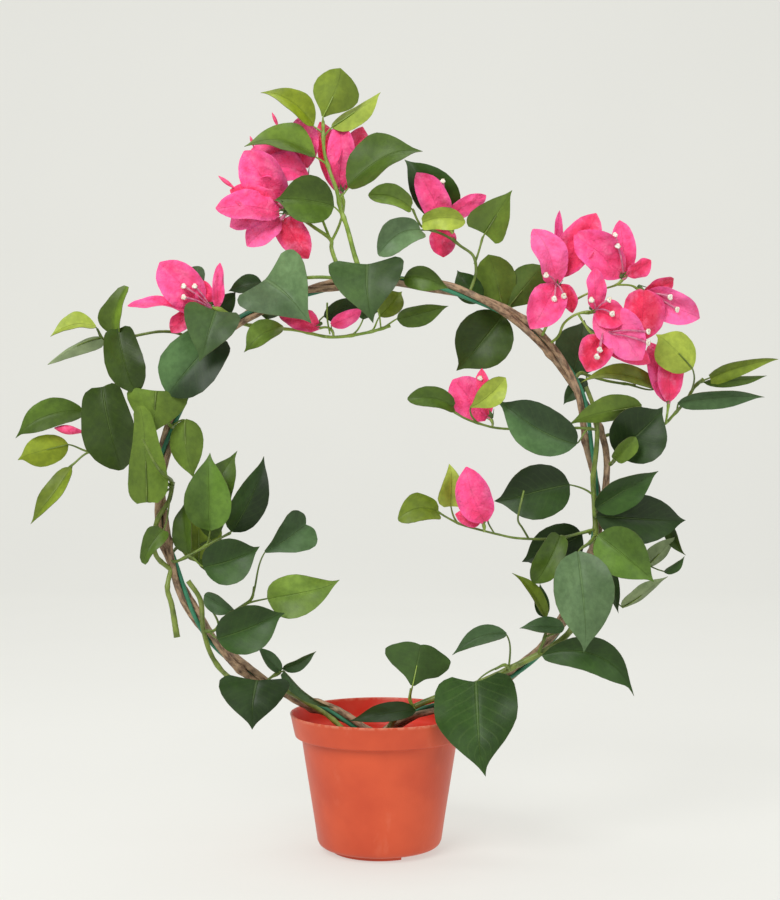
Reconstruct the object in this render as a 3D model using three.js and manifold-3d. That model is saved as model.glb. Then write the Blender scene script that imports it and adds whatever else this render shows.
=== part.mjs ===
// An artificial bougainvillea trained round a hoop, in a plastic nursery pot.
// Millimetres, +Z up, the front of the plant facing -Y. The origin is the centre of the
// flat underside of the pot.
import * as THREE from "three";
import { mergeVertices } from "three/addons/utils/BufferGeometryUtils.js";
import Module from "manifold-3d";

const wasm = await Module();
wasm.setup();

// ---------------------------------------------------------------- driving dimensions
const CLEAR = 0.3; // gap between neighbouring sub-parts

const POT = {
  rim: 130, // outer diameters
  bandFoot: 122,
  shoulder: 113,
  base: 90,
  foot: 70,
  height: 99,
  band: 17, // height of the rim band
  footHeight: 2.5,
  wall: 1.8,
  fill: 59, // height of the potting mix above the ground
  clear: 0.35, // gap between the mix and the floor of the pot
};
const DRAIN = { width: 29, into: 7, height: 2.2, turns: [51, 231] }; // slots in the foot

const HOOP = {
  x: 1, // centre of the hoop
  z: 256,
  radius: 160,
  strand: 2.3, // radius of each woody strand
  wire: 1.5, // radius of the coated wire
  pair: 2.65, // strand centre to the middle of the twisted pair
  spread: 4.2, // how much further the strands part at the right
  groove: 3.25, // how far the wire stands off the line through both strands
  start: -76, // angles between which the hoop is a ring, in degrees
  end: 256,
  lead: 25, // angle of run before the start that the crossing ends take up
};
const ARCS = 6; // limbs that each strand and the wire are cut into

const VINE = 2.2; // radius of the live-looking green vines at their foot
const BLADE = { thick: 0.55, fold: 18, bow: 0.07, petiole: 0.8, sink: 2.6 };
const BRACT = { thick: 0.5, fold: 16, bow: 0.12, petiole: 0.7, sink: 2.6 };
const BACK = -1; // marks a leaf whose back is turned to the front

// The planting plan below gives places as they line up on the plane of the hoop when they
// are sighted from a point straight in front, with their depth behind that plane beside
// them, so that a sprig can be set forward or back without moving out of its line.
const SIGHT = { x: 7.6, y: -1089, z: 289 };

function place(x, z, depth) {
  const k = 1 + depth / -SIGHT.y;
  return new THREE.Vector3(SIGHT.x + (x - SIGHT.x) * k, depth, SIGHT.z + (z - SIGHT.z) * k);
}

// The sighted height of a foot that stands just clear of the potting mix at a depth.
function onMix(depth) {
  return SIGHT.z + (POT.fill + CLEAR - SIGHT.z) / (1 + depth / -SIGHT.y);
}

const radians = THREE.MathUtils.degToRad;

// ---------------------------------------------------------------- planting plan
// Each sprig has one stem, seated on a limb, with any forks after it, all as lists of
// [x, z, depth], the radii at its two ends, and its blades. A blade is base x and z, tip x
// and z, width, depth at the base and at the tip, turn about its midrib in degrees and, for
// a leaf, its outline.
const LEAVES = {
  spray_top: {
    stem: [[-14, 418, -9], [-18, 430, -9], [-24, 452, -9], [-28, 463, -9], [-31, 477, -9],
      [-36, 491, -9], [-40, 505, -9], [-41, 528, -10]],
    r: [2.3, 1.2],
    blades: [
      [-41, 531, -27, 565, 38, -12, -12, 0, "spoon", BACK],
      [-48, 525, -85, 551, 20, -9, -15, 25, "slim"],
      [-34, 523, 1, 547, 18, -5, 4, -35, "slim", BACK],
      [-47, 503, -98, 511, 24, -12, -20, 35, "slim"],
      [-23, 480, 29, 510, 35, -12, -22, -30, "round"],
      [-33, 466, -76, 472, 38, -16, -26, 0, "round"],
    ],
  },
  foliage_top: {
    stem: [[-94, 403, -9.5], [-80, 409, -10], [-62, 413, -10], [-44, 414.5, -10], [-22, 413, -10],
      [-8, 412, -10], [12, 413, -10]],
    r: [1.7, 1.3],
    blades: [
      [-83, 413, -51, 381, 61, -17, -30, 0, "broad"],
      [-9, 424, -6, 382, 59, -16, -26, 0, "broad"],
      [-86, 411, -110, 405, 15, -9, -5, 20, "slim"],
      [18, 414, 50, 405, 19, -14, -20, 15, "slim"],
    ],
  },
  foliage_under_top: {
    stem: [[-100, 381, 7], [-84, 378, 8], [-60, 376, 8], [-36, 371, 8], [-10, 374, 8], [8, 379, 8]],
    r: [1.6, 1.2],
    blades: [
      [-70, 379, -98, 360, 20, 4, -4, 20, "slim"],
      [-40, 386, -12, 400, 16, 12, 16, 25, "slim"],
      [13, 384, 50, 393, 17, 9, 3, 30, "slim"],
      [0, 386, 16, 405, 19, 14, 20, 0, "slim"],
      [-82, 384, -74, 414, 32, 16, 32, 0, "round"],
      [-12, 384, -8, 414, 32, 18, 34, 0, "round"],
    ],
  },
  foliage_upper_left: {
    stem: [[-116, 382, -10], [-121, 386, -13], [-123, 392, -14]],
    r: [1.6, 1.4],
    blades: [
      [-119, 390, -130, 353, 44, -24, -32, 0, "broad"],
      [-117, 372, -154, 330, 45, -13, -20, 0, "round"],
      [-120, 388, -104, 404, 14, -9, -3, 30, "slim"],
      [-135, 401, -132, 423, 16, -5, -1, 0, "slim"],
    ],
  },
  spray_left_top: {
    stem: [[-131, 363, 6], [-139, 370, 8], [-147, 374, 6], [-159, 375, 2], [-172, 373, 0],
      [-186, 370, -2], [-200, 369, -4], [-205, 377, -5]],
    r: [1.6, 1],
    blades: [
      [-190, 377, -178, 331, 30, -10, -16, -10, "round"],
      [-193, 374, -184, 408, 22, -2, -6, -30, "slim"],
      [-206, 379, -239, 372, 15, -9, -18, 40, "slim"],
      [-202, 370, -240, 349, 14, -6, -16, 40, "slim", BACK],
    ],
  },
  foliage_left: {
    stem: [[-153, 308, -9], [-160, 316, -12], [-168, 327, -12], [-182, 335, -10]],
    r: [1.6, 1.2],
    blades: [
      [-162, 332, -164, 300, 49, -20, -18, 0, "broad", BACK],
      [-201, 335, -187, 275, 42, -2, -6, 0, "round"],
      [-141, 311, -135, 268, 27, -8, -14, 0, "round", BACK],
    ],
  },
  foliage_left_low: {
    stem: [[-151, 262, -12], [-155, 266, -16], [-160, 274, -17]],
    r: [1.2, 1],
    blades: [
      [-169, 251, -172, 321, 32, -30, -26, 0, "blunt", BACK],
      [-157, 231, -172, 207, 18, -14, -20, 10, "slim"],
    ],
  },
  spray_left_far: {
    stem: [[-158, 286, 6], [-172, 292, 8], [-192, 291, 6], [-212, 287, 2], [-222, 279, 0],
      [-226, 276, 0]],
    r: [1.3, 0.8],
    blades: [
      [-214, 317, -265, 299, 24, 2, -8, 10, "slim"],
      [-226, 293, -263, 283, 25, -2, -10, 0, "slim", BACK],
      [-224, 276, -255, 236, 16, -1, -8, 25, "slim"],
      [-188, 293, -198, 326, 30, 16, 26, 0, "round"],
    ],
  },
  foliage_left_inner: {
    stem: [[-148, 208, -9], [-139, 212, -11], [-125, 220, -12], [-108, 229, -12]],
    r: [1.3, 1],
    blades: [
      [-123, 231, -124, 287, 37, -17, -22, 0, "round"],
      [-122, 224, -102, 288, 30, -8, -8, 0, "round"],
      [-107, 230, -83, 284, 27, -12, -18, 15, "round"],
      [-128, 204, -87, 218, 36, -24, -30, 0, "round"],
      [-139, 214, -142, 252, 18, -8, -3, -30, "slim"],
    ],
  },
  foliage_left_back: {
    stem: [[-150, 215, 9], [-146, 219, 13], [-137, 222, 14]],
    r: [1.4, 1.1],
    blades: [
      [-131, 208, -133, 262, 36, 17, 27, 0, "round", BACK],
      [-134, 216, -100, 208, 26, 18, 30, 0, "round"],
    ],
  },
  foliage_lower_left: {
    stem: [[-120, 158, -12], [-113, 166, -14], [-104, 173, -14], [-93, 181, -13], [-91, 190, -12]],
    r: [1.3, 1],
    blades: [
      [-83, 215, -51, 237, 34, -10, -4, 10, "spoon"],
      [-81, 181, -29, 192, 34, -16, -24, 8, "round"],
      [-118, 152, -70, 172, 37, -26, -32, 0, "round"],
      [-127, 184, -103, 170, 15, -14, -18, 20, "slim"],
    ],
  },
  foliage_bottom_left: {
    stem: [[-86, 116, -12], [-80, 123, -14], [-72, 128, -14]],
    r: [1.3, 1],
    blades: [
      [-89, 122, -92, 86, 55, -22, -34, 0, "broad"],
      [-72, 128, -88, 147, 10, -14, -16, 30, "slim"],
      [-70, 130, -46, 143, 10, -14, -12, 30, "slim"],
      [-70, 128, -35, 100, 10, -16, -26, 45, "slim"],
    ],
  },
  spray_upper_right: {
    stem: [[66, 405, 0], [70, 418, 0], [68, 430, 0], [59, 437, -1], [51, 443, -2], [40, 448, -3],
      [31, 451, -4], [28, 455, -4], [24, 464, -4]],
    r: [1.4, 0.9],
    forks: [
      [[69, 424, 0], [72, 433, -2], [75, 444, -4]],
    ],
    blades: [
      [23, 465, -8, 474, 18, -4, -10, 15, "slim"],
      [30, 449, 0, 431, 25, -12, -22, 0, "slim"],
      [53, 457, 19, 501, 36, 12, 12, 0, "round"],
      [31, 454, 62, 455, 17, -14, -18, 20, "slim"],
      [76, 446, 95, 478, 33, -6, -6, 15, "broad", BACK],
    ],
  },
  foliage_upper_right: {
    stem: [[92, 389, 8], [93, 392, 14], [88, 392, 17]],
    r: [1.6, 1.4],
    blades: [
      [90, 390, 80, 431, 34, 19, 16, 0, "spoon", BACK],
      [93, 392, 118, 423, 30, 20, 18, 0, "spoon", BACK],
      [90, 387, 57, 346, 46, 18, 14, 0, "round"],
      [72, 396, 56, 420, 22, 14, 18, 0, "slim"],
    ],
  },
  spray_inner_high: {
    stem: [[156, 304, -12], [144, 305, -12], [120, 304, -11], [85, 305, -10], [73, 308, -10],
      [62, 312, -10], [52, 318, -10]],
    r: [1.2, 0.9],
    blades: [
      [143, 293, 87, 327, 38, -18, -24, 0, "round"],
      [54, 320, 21, 326, 17, -10, -18, 15, "slim"],
      [66, 320, 90, 341, 20, -24, -30, 10, "slim"],
    ],
  },
  spray_inner_low: {
    stem: [[154, 231, -12], [143, 228, -12], [131, 225, -12], [100, 225, -11], [85, 228, -10],
      [73, 231, -10], [59, 235, -10], [49, 240, -10], [41, 245, -10]],
    r: [1.2, 0.8],
    blades: [
      [131, 227, 113, 192, 22, -16, -20, 10, "slim"],
      [43, 244, 14, 240, 22, -10, -20, 15, "slim"],
      [53, 248, 53, 279, 18, -18, -20, 15, "slim"],
    ],
  },
  foliage_right_low: {
    stem: [[156, 226, -13], [153, 222, -18], [147, 218, -22]],
    r: [1.5, 1.2],
    blades: [
      [144, 215, 151, 142, 47, -30, -38, 0, "round"],
      [159, 227, 200, 194, 38, -24, -34, 0, "round"],
    ],
  },
  foliage_right_back: {
    stem: [[160, 236, 9], [158, 232, 13], [152, 228, 15]],
    r: [1.4, 1.2],
    blades: [
      [147, 228, 103, 209, 38, 14, 10, 0, "round"],
      [176, 175, 208, 199, 12, 12, 4, 35, "slim", BACK],
      [194, 205, 215, 227, 15, 10, 6, 20, "slim", BACK],
      [209, 238, 221, 212, 9, 10, 2, 35, "slim"],
      [207, 200, 222, 211, 8, 8, 2, 30, "slim"],
      [167, 205, 173, 170, 10, 14, 10, 0, "slim"],
    ],
  },
  foliage_right: {
    stem: [[156, 241, -13], [156, 252, -14], [155, 264, -14]],
    r: [1.3, 1.2],
    blades: [
      [138, 264, 84, 250, 43, -18, -26, 0, "round"],
      [158, 241, 224, 237, 40, -14, 0, 0, "round"],
      [157, 247, 203, 273, 26, -18, -26, 20, "round"],
    ],
  },
  foliage_right_high: {
    stem: [[168, 279, -3], [172, 284, -5], [177, 298, -5], [182, 312, -5]],
    r: [1.5, 1.2],
    blades: [
      [172, 286, 207, 319, 46, -8, -18, 0, "round"],
      [171, 282, 186, 298, 15, -18, -24, 20, "slim"],
      [190, 321, 136, 310, 20, -14, -18, -25, "slim", BACK],
    ],
  },
  foliage_right_top: {
    stem: [[146, 345, 0], [152, 343, 2], [166, 339, 4], [186, 336, 4]],
    r: [1.4, 1],
    blades: [
      [202, 334, 147, 342, 15, -2, -10, 30, "slim"],
      [140, 343, 148, 384, 42, 20, 20, 0, "round"],
      [150, 340, 133, 322, 14, 12, 16, 0, "slim"],
    ],
  },
  spray_right_tip: {
    stem: [[166, 300, 4], [178, 301, 8], [194, 304, 8], [207, 308, 6], [213, 314, 4], [221, 323, 2],
      [229, 335, 0], [235, 341, 0]],
    r: [1.5, 1],
    blades: [
      [227, 348, 201, 374, 32, -20, -26, 0, "round", BACK],
      [240, 341, 290, 355, 14, -2, -10, 25, "slim"],
      [236, 338, 283, 342, 8, 6, 10, 30, "slim"],
      [217, 323, 280, 327, 15, -2, -12, 30, "slim"],
    ],
  },
  foliage_lower_right: {
    stem: [[116, 143, -12], [119, 150, -14], [121, 160, -13], [120, 168, -12]],
    r: [1.4, 1],
    blades: [
      [121, 167, 98, 201, 10, -12, -16, 45, "slim"],
      [134, 160, 102, 161, 13, -16, -20, 30, "slim"],
      [118, 140, 186, 112, 34, -16, -24, 0, "round"],
      [119, 168, 117, 192, 12, -6, -6, 0, "slim"],
    ],
  },
  foliage_pot_right: {
    stem: [[94, 130, -12], [91, 133, -16], [84, 130, -20]],
    r: [1.3, 1.1],
    blades: [
      [70, 121, 74, 53, 64, -28, -60, 8, "heart"],
      [92, 156, 53, 140, 14, -15, -20, 25, "slim"],
    ],
  },
  foliage_pot: {
    stem: [[24, 103, -12], [22, 108, -14], [23, 116, -14]],
    r: [1.3, 1.2],
    blades: [
      [24, 118, 30, 148, 54, -24, 0, 0, "spoon", BACK],
      [26, 100, -22, 92, 14, -18, -24, 30, "slim"],
    ],
  },
};

const BLOSSOM = {
  blossom_top: {
    stem: [[-27, 416, -10], [-31, 424, -10], [-35, 436, -9], [-35, 441, -9], [-48, 451, -10],
      [-60, 459, -10], [-70, 464, -10]],
    r: [2, 1.1],
    forks: [
      [[-35, 440, -9], [-41, 455, -5], [-46, 470, -3], [-54, 489, -3]],
      [[-35, 440, -9], [-29, 453, -2], [-26, 466, -1], [-28, 477, -1]],
    ],
    blades: [
      [-72, 466, -97, 507, 33, -12, -20, 0],
      [-74, 464, -108, 479, 22, -16, -24, 0],
      [-73, 461, -119, 464, 24, -19, -26, 10],
      [-73, 458, -97, 438, 22, -13, -18, 0],
      [-70, 456, -52, 428, 24, -11, -18, 0],
      [-57, 492, -94, 507, 25, -5, 0, 20],
      [-54, 494, -57, 531, 22, 2, 4, 0],
      [-30, 478, -29, 527, 22, 2, -2, 0],
      [-28, 478, -13, 524, 22, 5, 6, 10],
      [-31, 478, -42, 528, 18, 9, 12, 0],
    ],
  },
  blossom_upper_right: {
    stem: [[54, 443, 2], [52, 448, 4], [48, 453, 4]],
    r: [1, 0.9],
    blades: [
      [47, 453, 28, 491, 23, 2, -4, 0],
      [48, 455, 78, 473, 14, 4, 2, 20],
      [45, 451, 46, 429, 21, 9, 9, 0],
    ],
  },
  blossom_left: {
    stem: [[-110, 388, -12], [-116, 391, -16], [-124, 393, -18]],
    r: [1.2, 1],
    blades: [
      [-130, 391, -160, 425, 31, -16, -20, 0],
      [-133, 387, -183, 394, 9, -20, -26, 40],
      [-136, 389, -152, 375, 14, -19, -19, 0],
      [-126, 392, -128, 412, 14, -17, -20, 10],
      [-118, 392, -116, 425, 9, -17, -21, 20],
    ],
  },
  blossom_under_top: {
    stem: [[-34, 375, 9], [-38, 378, 5], [-46, 377, 2]],
    r: [1, 0.9],
    blades: [
      [-44, 378, -73, 388, 17, 2, -2, 10],
      [-35, 380, -13, 390, 12, 5, 2, 10],
    ],
  },
  blossom_right_high: {
    stem: [[119, 374, -9], [122, 380, -12], [129, 386, -13], [135, 393, -13], [152, 403, -13],
      [172, 409, -13], [178, 414, -13]],
    r: [1.3, 0.8],
    forks: [
      [[129, 386, -13], [128, 396, -14], [129, 408, -14]],
      [[172, 409, -13], [184, 408, -13], [191, 402, -13]],
    ],
    blades: [
      [128, 409, 113, 450, 26, -14, -20, 10],
      [128, 408, 111, 377, 29, -17, -24, 0],
      [131, 409, 141, 389, 13, -13, -16, 0],
      [132, 416, 159, 460, 27, -8, -12, -10],
      [131, 422, 130, 463, 7, -4, -4, 0],
      [176, 416, 141, 446, 30, -12, -18, 0],
      [178, 416, 175, 456, 19, -6, -8, 0],
      [180, 416, 197, 427, 13, -16, -20, 20],
      [192, 403, 214, 413, 13, -10, -8, 20],
      [191, 404, 186, 377, 28, -18, -24, 0],
      [193, 402, 233, 386, 25, -14, -20, 10],
    ],
  },
  blossom_right_low: {
    stem: [[130, 372, -10], [134, 381, -15], [144, 388, -18], [157, 389, -19]],
    r: [1.2, 0.9],
    forks: [
      [[144, 388, -18], [152, 376, -21], [160, 368, -24]],
    ],
    blades: [
      [157, 391, 156, 421, 16, -24, -28, 10],
      [158, 389, 190, 354, 32, -24, -30, 0],
      [161, 372, 151, 346, 25, -29, -34, 0],
      [161, 372, 197, 353, 18, -16, -20, 10],
      [158, 391, 178, 382, 22, -28, -33, 0],
    ],
  },
  blossom_right_tip: {
    stem: [[208, 309, 3], [209, 316, 0], [210, 324, -2]],
    r: [1, 0.9],
    blades: [
      [209, 325, 196, 367, 22, -2, -4, 0],
      [210, 325, 211, 366, 20, -5, -6, 0],
    ],
  },
  blossom_inner_high: {
    stem: [[82, 306, -6], [82, 309, -1], [80, 313, 1]],
    r: [1, 0.9],
    blades: [
      [78, 312, 54, 341, 31, 4, 8, 0],
      [79, 314, 73, 348, 13, 0, -2, 0],
    ],
  },
  blossom_inner_low: {
    stem: [[76, 230, -13], [76, 233, -16], [75, 237, -17]],
    r: [1, 0.9],
    blades: [
      [76, 237, 62, 276, 27, -20, -26, 0],
      [73, 237, 55, 242, 13, -15, -20, 10],
    ],
  },
};

// ---------------------------------------------------------------- solids
function solid(geometry) {
  geometry.deleteAttribute("normal");
  geometry.deleteAttribute("uv");
  const merged = mergeVertices(geometry, 1e-4);
  const mesh = new wasm.Mesh({
    numProp: 3,
    vertProperties: new Float32Array(merged.attributes.position.array),
    triVerts: new Uint32Array(merged.index.array),
  });
  return new wasm.Manifold(mesh);
}

function geometryOf(body) {
  const mesh = body.getMesh();
  const geometry = new THREE.BufferGeometry();
  geometry.setAttribute("position", new THREE.BufferAttribute(mesh.vertProperties, 3));
  geometry.setIndex(new THREE.BufferAttribute(mesh.triVerts, 1));
  return geometry;
}

// A limb is a closed cylinder bent along a curve, tapering from one radius to the other.
function limb(points, r0, r1, sides, steps) {
  const curve = new THREE.CatmullRomCurve3(points, false, "centripetal");
  const frames = curve.computeFrenetFrames(steps, false);
  const centres = curve.getSpacedPoints(steps);
  const geometry = new THREE.CylinderGeometry(r1, r0, steps, sides, steps);
  const at = geometry.attributes.position;
  for (let i = 0; i < at.count; i++) {
    const row = Math.round(at.getY(i) + steps / 2);
    const p = centres[row].clone();
    p.addScaledVector(frames.normals[row], at.getZ(i));
    p.addScaledVector(frames.binormals[row], at.getX(i));
    at.setXYZ(i, p.x, p.y, p.z);
  }
  return solid(geometry);
}

// Half widths along the length of a blade, as shares of the widest.
const OUTLINES = {
  heart: [[0.02, 0.66], [0.28, 1], [0.7, 0.52]],
  broad: [[0.02, 0.85], [0.26, 1], [0.66, 0.5]],
  round: [[0.1, 0.58], [0.42, 1], [0.8, 0.54]],
  spoon: [[0.16, 0.34], [0.52, 0.97], [0.88, 0.7]],
  blunt: [[0.04, 0.82], [0.36, 0.94], [0.9, 0.46]],
  slim: [[0.12, 0.7], [0.55, 0.92]],
  bract: [[0.26, 0.92], [0.76, 0.78]],
};

// A closed plate over rows of a middle, a half width and the lift of the edges, between
// the points where it starts and ends.
function plate(start, rows, end, side, face, thick) {
  const top = [start.clone()];
  const bottom = [start.clone()];
  for (const { middle, half, edge } of rows) {
    for (const s of [-1, 0, 1]) {
      const p = middle.clone().addScaledVector(side, s * half);
      if (s) p.addScaledVector(face, edge);
      top.push(p.clone().addScaledVector(face, thick / 2));
      bottom.push(p.clone().addScaledVector(face, -thick / 2));
    }
  }
  top.push(end.clone());
  bottom.push(end.clone());
  const last = top.length - 1;
  const faces = [[0, 2, 1], [0, 3, 2], [last - 3, last - 2, last], [last - 2, last - 1, last]];
  for (let r = 1; r + 3 < last; r += 3)
    for (const c of [r, r + 1]) faces.push([c, c + 1, c + 4], [c, c + 4, c + 3]);
  const n = top.length;
  const index = faces.flatMap(([a, b, c]) => [a, b, c, a + n, c + n, b + n]);
  const lefts = rows.map((_, i) => 1 + 3 * i);
  const rim = [0, ...lefts.map((i) => i + 2), last, ...lefts.toReversed()];
  rim.forEach((a, i) => {
    const b = rim[(i + 1) % rim.length];
    index.push(a, a + n, b + n, a, b + n, b);
  });
  const geometry = new THREE.BufferGeometry().setFromPoints([...top, ...bottom]);
  geometry.setIndex(index);
  return solid(geometry);
}

// A blade is a thin plate folded along its midrib and bowed along its length, on a petiole
// that grows from a foot inside its stem and runs on into the blade.
function blade(row, foot, style) {
  const [bx, bz, tx, tz, width, depth, tipDepth, turn, shape = "bract", facing = 1] = row;
  const base = place(bx, bz, depth);
  const tip = place(tx, tz, tipDepth);
  const along = tip.clone().sub(base);
  const length = along.length();
  along.normalize();
  const front = new THREE.Vector3(0, -1, 0);
  front.addScaledVector(along, -front.dot(along)).normalize();
  const face = front.applyAxisAngle(along, radians(turn));
  const side = along.clone().cross(face);
  const half = width / 2 / Math.cos(radians(turn));
  const fold = radians(style.fold) * facing;
  const rows = OUTLINES[shape].map(([t, w]) => {
    const middle = base.clone().addScaledVector(along, t * length);
    middle.addScaledVector(face, style.bow * length * 4 * t * (1 - t));
    return { t, middle, half: w * half * Math.cos(fold), edge: w * half * Math.sin(fold) };
  });
  const into = rows.find(({ t }) => t > 0.1).middle.clone().sub(base);
  const root = base.clone().addScaledVector(into.normalize(), style.sink);
  const petiole = limb([foot, root], style.petiole, style.petiole, 3, 1);
  return plate(base, rows, tip, side, face, style.thick).add(petiole);
}

// ---------------------------------------------------------------- materials
function material(color, roughness) {
  return new THREE.MeshStandardMaterial({ color, roughness, metalness: 0 });
}

const group = new THREE.Group();
group.name = "hoop_bougainvillea";

function addMesh(name, body, color, roughness) {
  const mesh = new THREE.Mesh(geometryOf(body), material(color, roughness));
  mesh.name = name;
  group.add(mesh);
}

// ---------------------------------------------------------------- hoop
// The middle of the twisted pair: a ring a little fuller at its upper corners and flatter
// on top, whose two ends run down across each other into the potting mix.
function ringPoint(degrees) {
  const a = radians(degrees);
  const up = Math.max(0, Math.sin(a));
  const r = HOOP.radius + 4 * up * Math.sin(2 * a) ** 2 - 5 * up ** 8;
  return new THREE.Vector3(HOOP.x + r * Math.cos(a), 0, HOOP.z + r * Math.sin(a));
}

const ROOT_RIGHT = [[-9, 7, 42], [-7, 7, 62], [2, 6, 80], [20, 3, 93]];
const ROOT_LEFT = [[-20, -3, 93], [0, -6, 80], [9, -7, 62], [11, -7, 42]];

const route = [];
for (const p of ROOT_RIGHT) route.push(new THREE.Vector3(...p));
for (let a = HOOP.start; a <= HOOP.end; a += 4) route.push(ringPoint(a));
for (const p of ROOT_LEFT) route.push(new THREE.Vector3(...p));
const centreLine = new THREE.CatmullRomCurve3(route, false, "centripetal");

// Turn of the pair round its middle, in degrees: slower where the strands part.
const twist = (degrees) => 95 + 5 * degrees + 3 * Math.max(0, degrees - 70);
const parting = (degrees) => Math.exp(-(((degrees - 21) / 13) ** 2));

// Offsets of strand a, strand b and the wire from the middle, in the turning frame.
function offsets(degrees) {
  const pair = HOOP.pair + HOOP.spread * parting(degrees);
  return { a: [pair, 0], b: [-pair, 0], wire: [pair - HOOP.pair, HOOP.groove] };
}

function member(which, from, to, count) {
  const points = [];
  for (let i = 0; i <= count; i++) {
    const u = from + ((to - from) * i) / count;
    const p = centreLine.getPointAt(u);
    const outward = centreLine.getTangentAt(u).cross(new THREE.Vector3(0, 1, 0)).negate();
    const degrees = angleAt(u);
    const turn = radians(twist(degrees));
    const [a, b] = offsets(degrees)[which];
    p.addScaledVector(outward, a * Math.cos(turn) - b * Math.sin(turn));
    p.y += a * Math.sin(turn) + b * Math.cos(turn);
    points.push(p);
  }
  return points;
}

// The angle round the hoop's centre that a share of the centre line's length stands at.
function angleAt(u) {
  const total = centreLine.getLength();
  return HOOP.start - HOOP.lead + (u * total) / radians(HOOP.radius);
}

const carriers = []; // centre lines that sprigs are seated on
const members = {
  a: { name: "hoop_stem_a", radius: HOOP.strand, sides: 5, color: 0x8f745c },
  b: { name: "hoop_stem_b", radius: HOOP.strand, sides: 5, color: 0x86705e },
  wire: { name: "hoop_wire", radius: HOOP.wire, sides: 4, color: 0x2f7d5b },
};
const gapShare = CLEAR / centreLine.getLength();

for (const [which, { name, radius, sides, color }] of Object.entries(members)) {
  for (let i = 0; i < ARCS; i++) {
    const from = i / ARCS + (i ? gapShare / 2 : 0);
    const to = (i + 1) / ARCS - (i < ARCS - 1 ? gapShare / 2 : 0);
    const points = member(which, from, to, 16);
    addMesh(name + "_" + (i + 1), limb(points, radius, radius, sides, 10), color, 0.8);
    carriers.push({ points, radius });
  }
}

// ---------------------------------------------------------------- pot
function potBody() {
  const { wall, height, band, footHeight } = POT;
  const [rim, bandFoot, shoulder, base, foot] = [
    POT.rim, POT.bandFoot, POT.shoulder, POT.base, POT.foot,
  ].map((d) => d / 2);
  const ledge = height - band;
  const profile = [
    [0, 0],
    [foot, 0],
    [foot, footHeight],
    [base - 3, footHeight + 1.5],
    [base, footHeight + 6],
    [shoulder, ledge],
    [bandFoot, ledge],
    [rim, height],
    [rim - wall, height],
    [bandFoot - wall, ledge + wall],
    [shoulder - wall, ledge - wall],
    [base - wall, footHeight + 7],
    [base - 4, footHeight + 4],
    [0, footHeight + 4],
  ];
  const lathe = new THREE.LatheGeometry(profile.map(([r, z]) => new THREE.Vector2(r, z)), 24);
  lathe.rotateX(Math.PI / 2);
  let body = solid(lathe);
  for (const turn of DRAIN.turns) {
    const cutter = new THREE.BoxGeometry(DRAIN.width, 2 * DRAIN.into, 2 * DRAIN.height);
    cutter.translate(0, -foot, 0);
    cutter.rotateZ(radians(turn));
    body = body.subtract(solid(cutter));
  }
  return body;
}

function pottingBody() {
  const { wall, footHeight, height, band } = POT;
  const [shoulder, base] = [POT.shoulder / 2, POT.base / 2];
  const rise = (POT.fill - footHeight - 7) / (height - band - footHeight - 7);
  const profile = [
    [0, footHeight + 4 + POT.clear],
    [base - 4.6, footHeight + 4 + POT.clear],
    [base - wall - 0.5, footHeight + 7.3],
    [base + (shoulder - base) * rise - wall - 0.5, POT.fill - 1],
    [base + (shoulder - base) * rise - wall - 3, POT.fill],
    [0, POT.fill],
  ];
  const lathe = new THREE.LatheGeometry(profile.map(([r, z]) => new THREE.Vector2(r, z)), 16);
  lathe.rotateX(Math.PI / 2);
  let body = solid(lathe);
  const socket = HOOP.pair + HOOP.strand + 4 * CLEAR;
  for (const root of [ROOT_RIGHT, ROOT_LEFT.toReversed()]) {
    const points = root.slice(0, 3).map((p) => new THREE.Vector3(...p));
    points[0].z -= 2 * CLEAR;
    body = body.subtract(limb(points, socket, socket, 7, 3));
  }
  return body;
}

addMesh("pot", potBody(), 0xd75c3a, 0.45);
addMesh("potting", pottingBody(), 0x6b5a4a, 0.95);

// ---------------------------------------------------------------- vines
// Each route is a list of [x, z, depth].
const VINES = {
  vine_right_low: {
    route: [[2, onMix(-17), -17], [4, 78, -16], [12, 95, -11], [26, 103, -9.2],
      [46, 111, -9.2], [72, 120, -9.2], [100, 133, -9.2], [123, 145, -9.2],
      [138, 157, -9.2], [150, 181, -9.2], [156, 206, -9.2]],
    r0: VINE, r1: VINE,
  },
  vine_right_high: {
    route: [[157, 214, -9.2], [157, 230, -9.2], [156, 250, -9.4], [155, 268, -9.8],
      [157, 285, -10.5], [158, 303, -11], [156, 318, -10], [150, 335, -9.6]],
    r0: VINE, r1: 1.6,
  },
  vine_left_low: {
    route: [[-139, 194, -9.2], [-130, 180, -9.2], [-128, 159, -9.2], [-121, 138, -9.2],
      [-109, 124, -9.2], [-90, 117, -9.2], [-68, 114, -9.2], [-50, 104, -9.2], [-36, 95, -10.5],
      [-22, 80, -15], [-17, onMix(-17), -17]],
    r0: 1.8, r1: 1.7,
  },
  vine_left_high: {
    route: [[-158, 203, -9.2], [-162, 212, -9.4], [-164, 224, -9.2], [-161, 239, -9.2],
      [-153, 252, -9.2], [-150, 266, -9.2]],
    r0: 1.7, r1: 2.2, seat: true,
  },
  stub_left: {
    route: [[-154, 196, -8], [-154, 188, -9], [-151, 177, -9], [-147, 153, -10]],
    r0: 1.6, r1: 2.3, seat: true,
  },
};

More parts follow.
